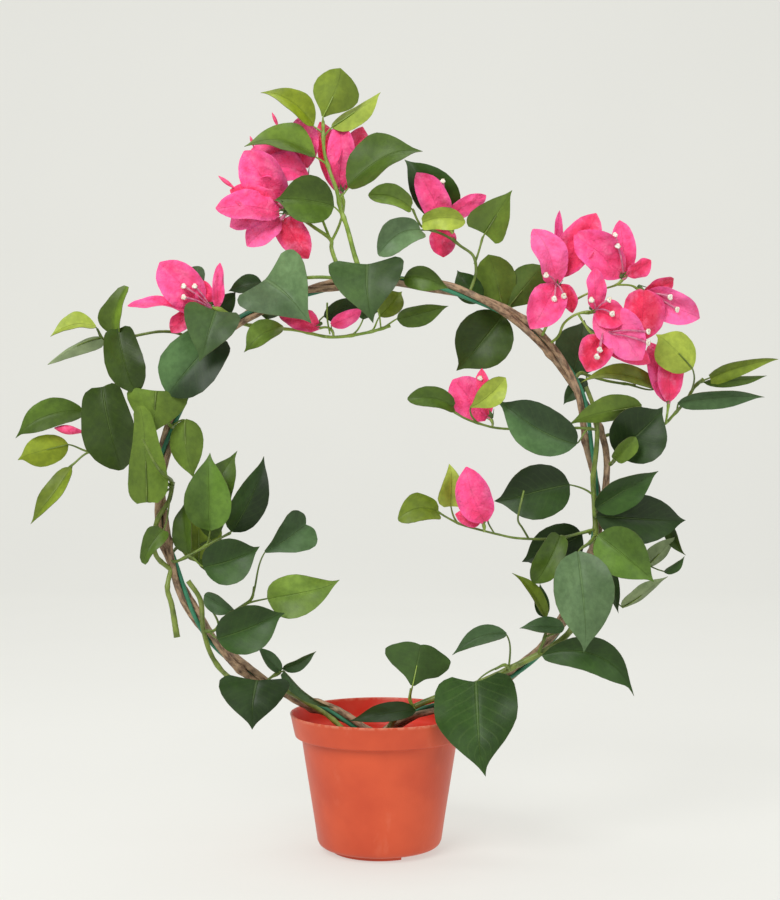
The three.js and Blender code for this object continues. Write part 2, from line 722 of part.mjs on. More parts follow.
// ---------------------------------------------------------------- sprigs
// A stem starts clear of the limb that lies nearest to the first point of its route.
function seated(points, radius) {
  let best = { gap: Infinity };
  for (const { points: line, radius: r } of carriers) {
    for (let i = 0; i + 1 < line.length; i++) {
      const on = new THREE.Vector3();
      new THREE.Line3(line[i], line[i + 1]).closestPointToPoint(points[0], true, on);
      const gap = on.distanceTo(points[0]) - r;
      const run = line[i + 1].clone().sub(line[i]).normalize();
      if (gap < best.gap) best = { gap, on, r, run };
    }
  }
  const out = points[0].clone().sub(best.on);
  out.addScaledVector(best.run, -out.dot(best.run)).normalize();
  const start = best.on.clone().addScaledVector(out, best.r + CLEAR + 0.05);
  const lead = start.clone().addScaledVector(out, 1.2 * radius + 0.5);
  return [start, lead, ...points.slice(1)];
}

// Points about 3 mm apart along the straight runs of a limb of so many steps.
function chords(points, steps) {
  const nodes = new THREE.CatmullRomCurve3(points, false, "centripetal").getSpacedPoints(steps);
  const path = new THREE.CurvePath();
  for (let i = 0; i < steps; i++) path.add(new THREE.LineCurve3(nodes[i], nodes[i + 1]));
  return path.getSpacedPoints(Math.max(8, Math.round(path.getLength() / 3)));
}

for (const [name, vine] of Object.entries(VINES)) {
  const sighted = vine.route.map((p) => place(...p));
  const points = vine.seat ? seated(sighted, vine.r0) : sighted;
  addMesh(name, limb(points, vine.r0, vine.r1, 5, 8), 0x7b8c3f, 0.6);
  carriers.push({ points: chords(points, 8), radius: (vine.r0 + vine.r1) / 2 });
}

// A petiole leaves its stem lower down than the blade stands.
function petioleFoot(lines, base) {
  let best = { far: Infinity };
  for (const line of lines) {
    line.forEach((p, i) => {
      const far = p.distanceTo(base);
      if (far < best.far) best = { far, line, i };
    });
  }
  const spacing = best.line[0].distanceTo(best.line[1]);
  return best.line[Math.max(1, best.i - Math.round(best.far / spacing))];
}

// Fusing seals small hollows and may cut off a scrap: only the outer body is kept.
function fused(bodies) {
  const whole = bodies.reduce((sum, body) => sum.add(body));
  return whole.decompose().reduce((a, b) => (a.volume() > b.volume() ? a : b));
}

function sprig(plan, style) {
  const routes = [plan.stem, ...(plan.forks ?? [])].map((r) => r.map((p) => place(...p)));
  const [r0, r1] = plan.r;
  routes[0] = seated(routes[0], r0);
  const bodies = [];
  const lines = routes.map((points, i) => {
    const steps = Math.max(3, points.length - 1);
    bodies.push(limb(points, i ? r1 * 1.1 : r0, i ? r1 * 0.9 : r1, 4, steps));
    return chords(points, steps);
  });
  for (const row of plan.blades) {
    const [bx, bz, , , , depth] = row;
    bodies.push(blade(row, petioleFoot(lines, place(bx, bz, depth)), style));
  }
  return { body: fused(bodies), line: lines[0], radius: r0 };
}

for (const [name, plan] of Object.entries(LEAVES)) {
  const { body, line, radius } = sprig(plan, BLADE);
  addMesh(name, body, 0x4f7434, 0.6);
  carriers.push({ points: line, radius });
}
for (const [name, plan] of Object.entries(BLOSSOM)) {
  const { body } = sprig(plan, BRACT);
  addMesh(name, body, 0xf0487c, 0.6);
}

export default group;
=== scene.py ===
# %% [markdown]
# # An artificial bougainvillea on a hoop, in a nursery pot
# The plant is a ring of two woody strands and a coated wire, with cloth leaves and pink
# cloth bracts on moulded stems, standing in a thin plastic pot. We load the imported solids
# first, because they say how big everything is and where it stands. Then each solid gets a
# finer piece in its place: the pot and its filling, the barky hoop, the stems, the leaves,
# and last the bracts with their small white flowers.

import math
import random

import bpy
import numpy as np
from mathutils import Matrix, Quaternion, Vector, noise


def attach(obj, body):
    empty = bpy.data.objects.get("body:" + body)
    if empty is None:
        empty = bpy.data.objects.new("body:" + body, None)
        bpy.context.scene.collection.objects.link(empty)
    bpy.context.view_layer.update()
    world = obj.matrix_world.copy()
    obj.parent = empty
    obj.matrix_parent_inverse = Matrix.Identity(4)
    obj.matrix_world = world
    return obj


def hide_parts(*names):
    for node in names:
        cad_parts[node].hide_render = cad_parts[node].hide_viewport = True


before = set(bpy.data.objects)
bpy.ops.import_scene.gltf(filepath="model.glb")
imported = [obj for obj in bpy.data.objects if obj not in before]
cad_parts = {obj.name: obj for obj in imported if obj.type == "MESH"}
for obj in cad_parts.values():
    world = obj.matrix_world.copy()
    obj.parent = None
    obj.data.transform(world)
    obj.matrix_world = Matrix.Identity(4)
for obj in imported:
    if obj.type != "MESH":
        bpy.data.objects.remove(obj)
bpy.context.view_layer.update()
MM = 0.001

# %% [markdown]
# ## Working by hand in edit mode
# An operator acts on whatever is selected, so these helpers clear the selection first and
# then pick one object, or the vertices of its mesh that lie where a rule says. Others add
# a primitive, open its mesh for editing, close it again, and apply a modifier.

# %% Helpers for selecting and editing
def take(*pieces):
    """Selects only these objects and makes the first the active one."""
    bpy.ops.object.select_all(action="DESELECT")
    for piece in pieces:
        piece.select_set(True)
    bpy.context.view_layer.objects.active = pieces[0]


def added(primitive, **settings):
    """Adds a primitive with nothing else selected."""
    bpy.ops.object.select_all(action="DESELECT")
    primitive(**settings)
    return bpy.context.object


def edit_all():
    """Opens the active object's mesh for editing, with all of it selected."""
    bpy.ops.object.mode_set(mode="EDIT")
    bpy.ops.mesh.select_all(action="SELECT")


def close_outward():
    """Turns all faces of the mesh outwards and leaves edit mode."""
    bpy.ops.mesh.select_all(action="SELECT")
    bpy.ops.mesh.normals_make_consistent(inside=False)
    bpy.ops.object.mode_set(mode="OBJECT")


def modified(piece, kind, **settings):
    """Adds a modifier of that kind, with its settings, and applies it."""
    take(piece)
    modifier = piece.modifiers.new(kind.lower(), kind)
    for key, value in settings.items():
        setattr(modifier, key, value)
    bpy.ops.object.modifier_apply(modifier=modifier.name)


def pick(piece, rule):
    """In edit mode, selects the vertices whose place the rule accepts."""
    bpy.ops.object.mode_set(mode="OBJECT")
    data = piece.data
    data.polygons.foreach_set("select", [False] * len(data.polygons))
    data.edges.foreach_set("select", [False] * len(data.edges))
    for vertex in data.vertices:
        vertex.select = bool(rule(vertex.co))
    bpy.ops.object.mode_set(mode="EDIT")


def coords(data):
    """The vertices of a mesh as rows of x, y and z."""
    flat = np.empty(len(data.vertices) * 3)
    data.vertices.foreach_get("co", flat)
    return flat.reshape(-1, 3)


def set_coords(data, rows):
    data.vertices.foreach_set("co", np.asarray(rows, dtype=np.float64).ravel())
    data.update()


def called(piece, name):
    """Gives an object and its mesh their name."""
    piece.name = piece.data.name = name
    return piece


def joined(pieces, name):
    """Joins the pieces into one object with that name."""
    take(*pieces)
    bpy.ops.object.join()
    return called(bpy.context.view_layer.objects.active, name)


def settle(piece, finishes, replaces=()):
    """Gives a piece its finishes, ties it to the body of the plant, and hides the solids it
    replaces.
    """
    for finish in finishes:
        piece.data.materials.append(finish)
    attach(piece, "root")
    if replaces:
        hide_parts(*replaces)
    print(piece.name, "-", len(piece.data.polygons), "faces")
    return piece


# %% [markdown]
# ## Sums in shaders
# A finish is a network of nodes. Writing it as arithmetic is easier to read, so a small
# class wraps one socket and turns +, -, * and / into Math nodes.

# %% A socket that can be added and multiplied
class Value:
    """One output of a node; arithmetic on it adds Math nodes."""

    def __init__(self, tree, socket):
        self.tree = tree
        self.socket = socket

    def math(self, operation, *others):
        node = self.tree.nodes.new("ShaderNodeMath")
        node.operation = operation
        for slot, other in zip(node.inputs, (self, *others)):
            if isinstance(other, Value):
                self.tree.links.new(other.socket, slot)
            else:
                slot.default_value = other
        return Value(self.tree, node.outputs[0])

    def __add__(self, other):
        return self.math("ADD", other)

    def __sub__(self, other):
        return self.math("SUBTRACT", other)

    def __mul__(self, other):
        return self.math("MULTIPLY", other)

    def __truediv__(self, other):
        return self.math("DIVIDE", other)

    def __rsub__(self, other):
        return (self * -1) + other

    __radd__ = __add__
    __rmul__ = __mul__

    def step(self, low, high):
        """0 below low and 1 above high, with a soft slope between."""
        node = self.tree.nodes.new("ShaderNodeMapRange")
        node.interpolation_type = "SMOOTHSTEP"
        self.tree.links.new(self.socket, node.inputs["Value"])
        node.inputs["From Min"].default_value = low
        node.inputs["From Max"].default_value = high
        return Value(self.tree, node.outputs["Result"])


def linear(colour):
    """A colour as seen, 0 to 255, as the linear values that shaders use."""
    shares = [c / 255 for c in colour]
    return [s / 12.92 if s <= 0.04045 else ((s + 0.055) / 1.055) ** 2.4 for s in shares]


# %% A finish and the nodes in it
class Finish:
    """A material with one Principled shader, and short ways to add nodes to it."""

    def __init__(self, name, **fixed):
        self.material = bpy.data.materials.new(name)
        self.material.use_nodes = True
        self.tree = self.material.node_tree
        self.tree.nodes.clear()
        output = self.tree.nodes.new("ShaderNodeOutputMaterial")
        self.shader = self.tree.nodes.new("ShaderNodeBsdfPrincipled")
        self.tree.links.new(self.shader.outputs[0], output.inputs["Surface"])
        for socket, value in fixed.items():
            self.shader.inputs[socket.replace("_", " ")].default_value = value

    def node(self, kind, inputs=None, out=0, **settings):
        """Adds a node of that type: its settings first, then values or links."""
        node = self.tree.nodes.new(kind)
        for key, value in settings.items():
            setattr(node, key, value)
        for key, value in (inputs or {}).items():
            if isinstance(value, Value):
                self.tree.links.new(value.socket, node.inputs[key])
            else:
                node.inputs[key].default_value = value
        return Value(self.tree, node.outputs[out])

    def place(self):
        return self.node("ShaderNodeTexCoord", out="Object")

    def uv(self, name):
        return self.node("ShaderNodeUVMap", uv_map=name)

    def carried(self, name, out=0):
        """What the mesh carries under that name: its colour 0, number 2 or alpha 3."""
        return self.node("ShaderNodeAttribute", out=out, attribute_name=name)

    def parts(self, vector):
        """The x, y and z of a vector, as three values."""
        node = self.tree.nodes.new("ShaderNodeSeparateXYZ")
        self.tree.links.new(vector.socket, node.inputs[0])
        return [Value(self.tree, output) for output in node.outputs]

    def stretched(self, vector, scale):
        return self.node(
            "ShaderNodeVectorMath", {0: vector, 1: scale}, operation="MULTIPLY"
        )

    def grain(self, vector, scale, detail=2.0, roughness=0.5):
        """Cloudy noise between 0 and 1, so many cells to a metre or to a UV unit."""
        inputs = {"Vector": vector, "Scale": scale, "Detail": detail, "Roughness": roughness}
        return self.node("ShaderNodeTexNoise", inputs)

    def blend(self, share, first, second, mode="MIX"):
        """Mixes two colours, each one a list of numbers or a link."""
        node = self.tree.nodes.new("ShaderNodeMix")
        node.data_type = "RGBA"
        node.blend_type = mode
        for key, value in ((0, share), (6, first), (7, second)):
            if isinstance(value, Value):
                self.tree.links.new(value.socket, node.inputs[key])
            elif key:
                node.inputs[key].default_value = (*value, 1)
            else:
                node.inputs[key].default_value = value
        return Value(self.tree, node.outputs[2])

    def relief(self, height, depth):
        """A bump of that depth in metres, as a normal."""
        return self.node(
            "ShaderNodeBump", {"Height": height, "Distance": depth, "Strength": 1.0}
        )

    def feed(self, **links):
        for socket, value in links.items():
            self.tree.links.new(value.socket, self.shader.inputs[socket.replace("_", " ")])
        return self.material


# %% [markdown]
# ## Camera, light and floor
# The camera stands about a metre in front, level, as high as the middle of the plant. A
# pale sheet runs along the floor and, well behind the plant, up in one sweep. It glows a
# little, as a lit studio sheet does, and broad soft lamps leave hardly a shadow.

# %% Camera
SIGHT_X, SIGHT_BACK, SIGHT_Z = 7.6, 1089, 289  # in millimetres
sight = Vector((SIGHT_X, -SIGHT_BACK, SIGHT_Z)) * MM
camera = added(bpy.ops.object.camera_add, location=sight, rotation=(math.pi / 2, 0, 0))
camera.name = "camera"
camera.data.lens = 60
camera.data.sensor_width = 36
camera.data.clip_start = 0.05
bpy.context.scene.camera = camera
bpy.context.scene.view_settings.view_transform = "Standard"
print("camera at", tuple(round(v, 4) for v in camera.location))

# %% Floor and lamps
FLOOR_WIDTH, FLOOR_DEPTH, FLOOR_SHIFT = 8, 5.4, -0.9
SWEEP, SWEEP_STEPS, WALL_HEIGHT = 0.45, 9, 3
PAPER_GLOW = 1.55


def pull(x, y, z):
    """Extrudes what is selected by that much."""
    bpy.ops.mesh.extrude_region_move(TRANSFORM_OT_translate={"value": (x, y, z)})


floor = added(bpy.ops.mesh.primitive_plane_add, size=1, location=(0, 0, 0))
floor.name = "backdrop"
edit_all()
bpy.ops.transform.resize(value=(FLOOR_WIDTH, FLOOR_DEPTH, 1))
bpy.ops.transform.translate(value=(0, FLOOR_SHIFT, 0))
pick(floor, lambda co: co.y > 0)
run = SWEEP * math.pi / 2 / SWEEP_STEPS
for step in range(SWEEP_STEPS):
    angle = math.radians(90 * (step + 0.5) / SWEEP_STEPS)
    pull(0, run * math.cos(angle), run * math.sin(angle))
pull(0, 0, WALL_HEIGHT)
bpy.ops.object.mode_set(mode="OBJECT")
bpy.ops.object.shade_smooth()
paper = Finish("studio_paper", Roughness=0.9, Emission_Strength=PAPER_GLOW)
paper_cloud = paper.grain(paper.place(), 3.0)
paper_tone = paper.blend(paper_cloud, linear((156, 156, 152)), linear((154, 154, 150)))
floor.data.materials.append(paper.feed(Base_Color=paper_tone, Emission_Color=paper_tone))


def lamp(name, place, aim, size, watts):
    """A square area lamp at a place, turned to face the point it is aimed at."""
    light = added(bpy.ops.object.light_add, type="AREA", location=place)
    light.name = name
    light.data.size = size
    light.data.energy = watts
    light.rotation_euler = (Vector(aim) - Vector(place)).to_track_quat("-Z", "Y").to_euler()


lamp("key", (-0.9, -1.6, 1.7), (0, 0, 0.3), 1.2, 34)
lamp("fill", (1.5, -1.5, 0.9), (0, 0, 0.3), 1.4, 10)
lamp("top", (0, 0.2, 2.3), (0, 0, 0.2), 1.4, 16)
world = bpy.data.worlds.new("studio")
bpy.context.scene.world = world
world.use_nodes = True
sky = world.node_tree.nodes["Background"].inputs
sky["Color"].default_value = (1, 1, 0.99, 1)
sky["Strength"].default_value = 0.34

# %% [markdown]
# ## Smooth lines
# Stems and strands follow smooth curves through a few points. A centripetal curve passes
# through every point without loops, and we cut it into steps of equal length, so that
# bark and knots come out evenly spaced.

# %% Curves through points
FINE = 12  # steps between two of the points, before the line is cut evenly


def smooth(points, count):
    """count points, evenly spaced, on a centripetal curve through the given ones."""
    p = [np.array(q, float) for q in points]
    p = [2 * p[0] - p[1], *p, 2 * p[-1] - p[-2]]
    dense = []
    for a, b, c, d in zip(p, p[1:], p[2:], p[3:]):
        spans = ((a, b), (b, c), (c, d))
        t0, t1, t2 = (max(np.linalg.norm(v - u), 1e-9) ** 0.5 for u, v in spans)
        m1 = ((b - a) / t0 - (c - a) / (t0 + t1) + (c - b) / t1) * t1
        m2 = ((c - b) / t1 - (d - b) / (t1 + t2) + (d - c) / t2) * t1
        for i in range(FINE):
            s = i / FINE
            h = (2 * s**3 - 3 * s**2 + 1, s**3 - 2 * s**2 + s, 3 * s**2 - 2 * s**3, s**3 - s**2)
            dense.append(h[0] * b + h[1] * m1 + h[2] * c + h[3] * m2)
    dense.append(p[-2])
    return evenly(np.array(dense), count)


def evenly(line, count):
    """The same line as count evenly spaced points."""
    runs = np.linalg.norm(np.diff(line, axis=0), axis=1)
    along = np.concatenate([[0], np.cumsum(runs)])
    at = np.linspace(0, along[-1], count)
    return np.stack([np.interp(at, along, line[:, k]) for k in range(3)], axis=1)


def length_of(line):
    return float(np.linalg.norm(np.diff(line, axis=0), axis=1).sum())


def frames_along(line):
    """At each point two directions across the line, turning as little as they can."""
    tangent = np.gradient(line, axis=0)
    tangent /= np.linalg.norm(tangent, axis=1)[:, None]
    across = np.zeros_like(line)
    first = np.cross(tangent[0], [0, 1, 0.01])
    across[0] = first / np.linalg.norm(first)
    for i in range(1, len(line)):
        v = across[i - 1] - tangent[i] * (across[i - 1] @ tangent[i])
        across[i] = v / np.linalg.norm(v)
    return across, np.cross(tangent, across)


# %% A grid rolled round a line
def rolled(name, line, radius, sides):
    """A closed tube: a grid is rolled round the line, sewn, capped and smoothed.
    radius is a number, or one for each point and side."""
    rows = len(line)
    grid = bpy.ops.mesh.primitive_grid_add
    tube = called(added(grid, x_subdivisions=sides, y_subdivisions=rows - 1, size=2), name)
    across, up = frames_along(line)
    turn = np.arange(sides + 1) % sides * (2 * math.pi / sides)
    reach = np.broadcast_to(radius, (rows, sides))[:, np.arange(sides + 1) % sides]
    ring = across[:, None] * np.cos(turn)[:, None] + up[:, None] * np.sin(turn)[:, None]
    set_coords(tube.data, (line[:, None] + ring * reach[:, :, None]).reshape(-1, 3))
    edit_all()
    bpy.ops.mesh.remove_doubles(threshold=1e-7)
    bpy.ops.mesh.fill_holes(sides=sides)
    close_outward()
    bpy.ops.object.shade_smooth()
    return tube


# %% [markdown]
# ## The pot
# A thin nursery pot is blown or moulded in one piece: a flat foot, a rounded corner, a
# plain tapering wall and a rolled rim band. It is drawn up like clay: from a disc, the
# edge is extruded, lifted and widened again and again, over the lip and down inside.

# %% Raise the wall from a disc
POT_SIDES = 120
POT_STEPS = [
    (35, 2.4), (35.4, 2.7), (40.2, 3.2), (42.3, 3.9), (43.9, 5.2), (45, 7.6), (47.6, 25),
    (50.8, 45), (54, 65), (56.4, 80.6), (56.7, 81.9), (57.3, 82.3), (60.4, 82.4),
    (61.1, 82.8), (61.4, 83.6), (62.5, 88.5), (64.2, 96.5), (64.8, 98.2), (64.7, 98.8),
    (64.2, 99), (63.5, 98.8), (63.1, 98), (60.9, 87.5), (59.4, 84.2), (57, 83),
    (55.2, 81.6), (54.3, 79.5), (51.4, 61), (48.6, 43), (45.4, 23), (43.3, 9.4),
    (41.6, 7), (38, 6.5),
]
FOOT_RADIUS, FOOT_HEIGHT = POT_STEPS[0]
pot = called(added(
    bpy.ops.mesh.primitive_circle_add,
    vertices=POT_SIDES, radius=FOOT_RADIUS * MM, fill_type="NGON", location=(0, 0, 0),
), "pot_shell")
edit_all()
at_radius, at_height = FOOT_RADIUS, 0
for radius, height in POT_STEPS:
    if height > FOOT_HEIGHT:
        pick(pot, lambda co: abs(co.z - at_height * MM) < 1e-6
             and abs(math.hypot(co.x, co.y) - at_radius * MM) < 1e-5)
    pull(0, 0, (height - at_height) * MM)
    scale = radius / at_radius
    bpy.ops.transform.resize(value=(scale, scale, 1))
    if height == FOOT_HEIGHT:
        bpy.ops.mesh.delete(type="ONLY_FACE")
    at_radius, at_height = radius, height
bpy.ops.mesh.edge_face_add()
close_outward()
print("pot faces:", len(pot.data.polygons))

# %% Cut the two drain slots in the foot
SLOT_WIDTH, SLOT_DEPTH, SLOT_HEIGHT = 29, 7, 2.1
SLOT_TURNS = 51, 231  # degrees round the pot, from the front
for turn in SLOT_TURNS:
    angle = math.radians(turn)
    out = FOOT_RADIUS * MM
    cutter = added(
        bpy.ops.mesh.primitive_cube_add,
        size=1,
        location=(out * math.sin(angle), -out * math.cos(angle), 0),
        rotation=(0, 0, angle),
        scale=(SLOT_WIDTH * MM, 2 * SLOT_DEPTH * MM, 2 * SLOT_HEIGHT * MM),
    )
    modified(pot, "BOOLEAN", object=cutter, operation="DIFFERENCE", solver="EXACT")
    bpy.data.objects.remove(cutter)
take(pot)
bpy.ops.object.shade_smooth_by_angle(angle=math.radians(40))
print("pot with its slots:", len(pot.data.polygons), "faces")

# %% Mark the inside of the wall
# Vertices nearest to an inner step carry a 1, and all others a 0, for the plastic to read: it
# paints the inside a deeper red, as painted bounce light.
FIRST_INNER_STEP = 20
spots = coords(pot.data) / MM
flat = np.c_[np.hypot(spots[:, 0], spots[:, 1]), spots[:, 2]]
nearest = np.linalg.norm(flat[:, None] - np.array(POT_STEPS), axis=2).argmin(axis=1)
inner = (nearest >= FIRST_INNER_STEP).astype(float)
pot.data.attributes.new("painted_bounce_inside", "FLOAT", "POINT").data.foreach_set("value", inner)
print("inside:", int(inner.sum()), "of", len(inner), "vertices")

# %% [markdown]
# ## The pot's plastic
# Terracotta-coloured polypropylene has a soft shine. Handling leaves it slightly blotchy,
# with pale smears on the wall and chalky wear on the lip. Inside, the wall is painted a
# deeper red, a painted bounce light where the wall lights itself.

# %% Orange plastic
LIP_FROM, LIP_FADE = 0.0965, 0.002  # where the worn lip begins, and over how much, in metres
plastic = Finish("terracotta_plastic", Roughness=0.5, IOR=1.46)
spot = plastic.place()
pz = plastic.parts(spot)[2]
painted_bounce_inside = plastic.carried("painted_bounce_inside", out=2)
blotch = plastic.grain(spot, 26, 3.0)
smear = plastic.grain(plastic.stretched(spot, (1, 1, 0.45)), 75, 5.0, 0.62).step(0.58, 0.78)
lip = (pz - LIP_FROM).step(0, LIP_FADE) * plastic.grain(spot, 260, 3.0).step(0.35, 0.62)
wall = plastic.blend(blotch.step(0.3, 0.7), linear((202, 74, 40)), linear((216, 86, 48)))
wall = plastic.blend(smear * 0.2, wall, linear((228, 140, 108)))
# Painted bounce light: the inside of the wall is painted a deeper red than the outside.
red = plastic.blend(blotch.step(0.45, 0.8) * 0.4, linear((226, 46, 18)), linear((240, 120, 90)))
wall = plastic.blend(painted_bounce_inside, wall, red)
wall = plastic.blend(lip * 0.38, wall, linear((232, 164, 134)))
pitting = plastic.grain(spot, 900, 2.0) * 0.3 + plastic.grain(spot, 120, 2.0) * 0.7
terracotta = plastic.feed(
    Base_Color=wall,
    Roughness=smear * 0.15 + blotch * 0.12 + 0.36,
    Normal=plastic.relief(pitting, 0.00025),
)
settle(pot, [terracotta], ["pot"])

# %% [markdown]
# ## The filling
# Such plants stand in a plug of set filler under a crust of dark crumbs. A fine grid disc
# is pushed up and down by noise, and its rim is drawn down into the pot.

# %% Crumbly filling
FILL_RADIUS, FILL_TOP, FILL_SIDES = 50.4, 59, 72
RINGS, RING_WIDTH = 21, 2.3
LUMPS_TO_A_METRE, LUMP_HEIGHT, LUMP_DROP = 130, 2.2, 0.9
EDGE_FROM, EDGE_DROP = 0.93, 36  # the rim is drawn down past this share of the radius
CRUST = 6
filling = called(added(
    bpy.ops.mesh.primitive_circle_add,
    vertices=FILL_SIDES, radius=FILL_RADIUS * MM, fill_type="NGON",
    location=(0, 0, FILL_TOP * MM),
), "potting_crust")
edit_all()
for ring in range(RINGS):
    bpy.ops.mesh.inset(thickness=RING_WIDTH * MM)
bpy.ops.mesh.merge(type="CENTER")
bpy.ops.object.mode_set(mode="OBJECT")
spots = coords(filling.data)
for spot in spots:
    edge = math.hypot(spot[0], spot[1]) / (FILL_RADIUS * MM)
    lump = noise.fractal(Vector(spot) * LUMPS_TO_A_METRE, 1.0, 2.0, 4)
    drop = LUMP_DROP + EDGE_DROP * max(0, edge - EDGE_FROM)
    spot[2] += (lump * LUMP_HEIGHT - drop) * MM
set_coords(filling.data, spots)
modified(filling, "SOLIDIFY", thickness=CRUST * MM, offset=-1)
bpy.ops.object.shade_smooth()
print("filling:", len(filling.data.polygons), "faces")

# %% Dark crumbs
soil = Finish("crumbly_filler", Roughness=0.95)
crumbs = soil.grain(soil.place(), 420, 4.0, 0.6)
soil_finish = soil.feed(
    Base_Color=soil.blend(crumbs.step(0.3, 0.7), linear((52, 40, 32)), linear((112, 92, 74))),
    Normal=soil.relief(crumbs, 0.0012),
)
settle(filling, [soil_finish], ["potting"])

# %% [markdown]
# ## The hoop
# Two woody strands and a green coated wire are wound round each other and bent into a
# ring, whose two ends cross in the pot. One middle line gives all three: each runs beside
# it, turning round it as it goes, and at the right the strands part a little.

# %% The middle line and its turning
HOOP_X, HOOP_Z, HOOP_RADIUS = 1, 256, 160
FULLER, FLATTER = 4, 5  # how far the corners stand out, and the top in, in millimetres
STRAND, WIRE = 2.3, 1.5  # radii
PAIR, SPREAD, GROOVE = 2.65, 4.2, 3.25  # how far the strands and the wire are from the line
HOOP_POINTS = 800
RING_START, RING_END = -76, 256  # degrees round the ring, from its right side
ROOT_TURN = 25  # the length of the first root, in degrees of the ring
TWIST_START, TWIST_RATE = 95, 5  # degrees, and degrees of twist for one of the ring
TIGHT_FROM, TIGHTER = 70, 3  # from near the top on, it is wound tighter
PARTING_AT, PARTING_REACH = 21, 13  # where the strands part, in degrees
ROOT_RIGHT = [(-9, 7, 42), (-7, 7, 62), (2, 6, 80), (20, 3, 93)]
ROOT_LEFT = [(-20, -3, 93), (0, -6, 80), (9, -7, 62), (11, -7, 42)]


def ring_point(degrees):
    """A place on the ring, which is fuller at its upper corners and flatter on top."""
    a = math.radians(degrees)
    up = max(0, math.sin(a))
    r = HOOP_RADIUS + FULLER * up * math.sin(2 * a) ** 2 - FLATTER * up**8
    return (HOOP_X + r * math.cos(a), 0, HOOP_Z + r * math.sin(a))


ring = [ring_point(a) for a in range(RING_START, RING_END + 1, 4)]
middle = smooth([*ROOT_RIGHT, *ring, *ROOT_LEFT], HOOP_POINTS)
run = np.linspace(0, 1, HOOP_POINTS) * length_of(middle)
degrees = RING_START - ROOT_TURN + run / math.radians(HOOP_RADIUS)
tighter = TIGHTER * np.maximum(0, degrees - TIGHT_FROM)
twist = np.radians(TWIST_START + TWIST_RATE * degrees + tighter)
parting = np.exp(-(((degrees - PARTING_AT) / PARTING_REACH) ** 2))
outward = -np.cross(np.gradient(middle, axis=0), [0, 1, 0])
outward /= np.linalg.norm(outward, axis=1)[:, None]
print("hoop line:", round(length_of(middle)), "mm")


def beside(aside, above):
    """The middle line, moved aside and above in the frame that turns with the twist."""
    line = middle + outward * (aside * np.cos(twist) - above * np.sin(twist))[:, None]
    line[:, 1] += aside * np.sin(twist) + above * np.cos(twist)
    return line


pair = PAIR + SPREAD * parting
HOOP_LINES = {
    "strand_a": beside(pair, 0 * pair),
    "strand_b": beside(-pair, 0 * pair),
    "wire": beside(pair - PAIR, GROOVE + 0 * pair),
}

# %% [markdown]
# ## Bark
# Dry vine bark is grooved along its length, with a knot now and then. A grid has one
# column to every groove, so the relief is made in the mesh: the radius is changed point by
# point before the grid is rolled.

# %% Strands with grooved bark
BARK_SIDES, BARK_ROWS = 20, 640
BARK_STEP = 1060 / BARK_ROWS  # about the millimetres from one row to the next
BARK_SEED, BARK_SHIFT = 11, 31  # the shift keeps the two strands from matching
BARK_PROUD, COAT_PROUD = 1.03, 1.02  # how much thicker than its solid each is
FIRST_KNOT, KNOT_GAP, KNOT_STRAY, BARK_KNOTS = 40, 95, 25, 11
BARK_KNOT, KNOT_REACH = 0.42, 3.2
# Each relief is how often it changes round the strand and along it, and its depth.
GROOVES, ROUGHNESS = (2.6, 0.035, 0.15), (3.4, 0.22, 0.1)


def bark_radius(radius, shift, knots):
    """The radius of grooved bark in millimetres, for each row and side."""
    shape = np.empty((BARK_ROWS, BARK_SIDES))
    for i in range(BARK_ROWS):
        up = i * BARK_STEP
        knot = sum(BARK_KNOT * math.exp(-((up - k) / KNOT_REACH) ** 2) for k in knots)
        for j in range(BARK_SIDES):
            a = 2 * math.pi * j / BARK_SIDES
            shape[i, j] = 1 + knot
            for often, along, depth in (GROOVES, ROUGHNESS):
                at = Vector((math.cos(a) * often, math.sin(a) * often, up * along + shift))
                shape[i, j] += depth * noise.noise(at)
    return shape * radius


rng = random.Random(BARK_SEED)
barks = []
for i, letter in enumerate("ab"):
    line = evenly(HOOP_LINES["strand_" + letter], BARK_ROWS)
    knots = [FIRST_KNOT + KNOT_GAP * k + rng.uniform(-KNOT_STRAY, KNOT_STRAY)
             for k in range(BARK_KNOTS)]
    radius = bark_radius(STRAND * BARK_PROUD, BARK_SHIFT * i, knots)
    barks.append(rolled("bark_" + letter, line * MM, radius * MM, BARK_SIDES))
print("strands:", [len(piece.data.polygons) for piece in barks], "faces")

# %% Brown bark
bark = Finish("grooved_bark", Roughness=0.85)
along_bark = bark.stretched(bark.uv("UVMap"), (5, 130, 0))
fibre = bark.grain(along_bark, 1.0, 5.0, 0.65)
patch = bark.grain(bark.place(), 55, 3.0)
bark_tone = bark.blend(fibre.step(0.36, 0.62), linear((92, 70, 52)), linear((178, 148, 116)))
bark_tone = bark.blend(patch.step(0.45, 0.75) * 0.45, bark_tone, linear((182, 162, 138)))
bark_finish = bark.feed(
    Base_Color=bark_tone, Normal=bark.relief(fibre, 0.0007), Roughness=fibre * 0.25 + 0.68
)
for piece, letter in zip(barks, "ab"):
    settle(piece, [bark_finish], [f"hoop_stem_{letter}_{i}" for i in range(1, 7)])

# %% The coated wire
COAT_ROWS, COAT_SIDES = 420, 12
wire_line = evenly(HOOP_LINES["wire"], COAT_ROWS) * MM
wire = rolled("wire_coat", wire_line, WIRE * COAT_PROUD * MM, COAT_SIDES)
coat = Finish("green_wire_coating", Roughness=0.42)
coat_spot = coat.grain(coat.place(), 60, 3.0)
coat_finish = coat.feed(
    Base_Color=coat.blend(coat_spot.step(0.3, 0.7), linear((36, 104, 74)), linear((60, 138, 102))),
    Roughness=coat_spot * 0.2 + 0.32,
    Normal=coat.relief(coat.grain(coat.place(), 700), 0.0001),
)
settle(wire, [coat_finish], [f"hoop_wire_{i}" for i in range(1, 7)])

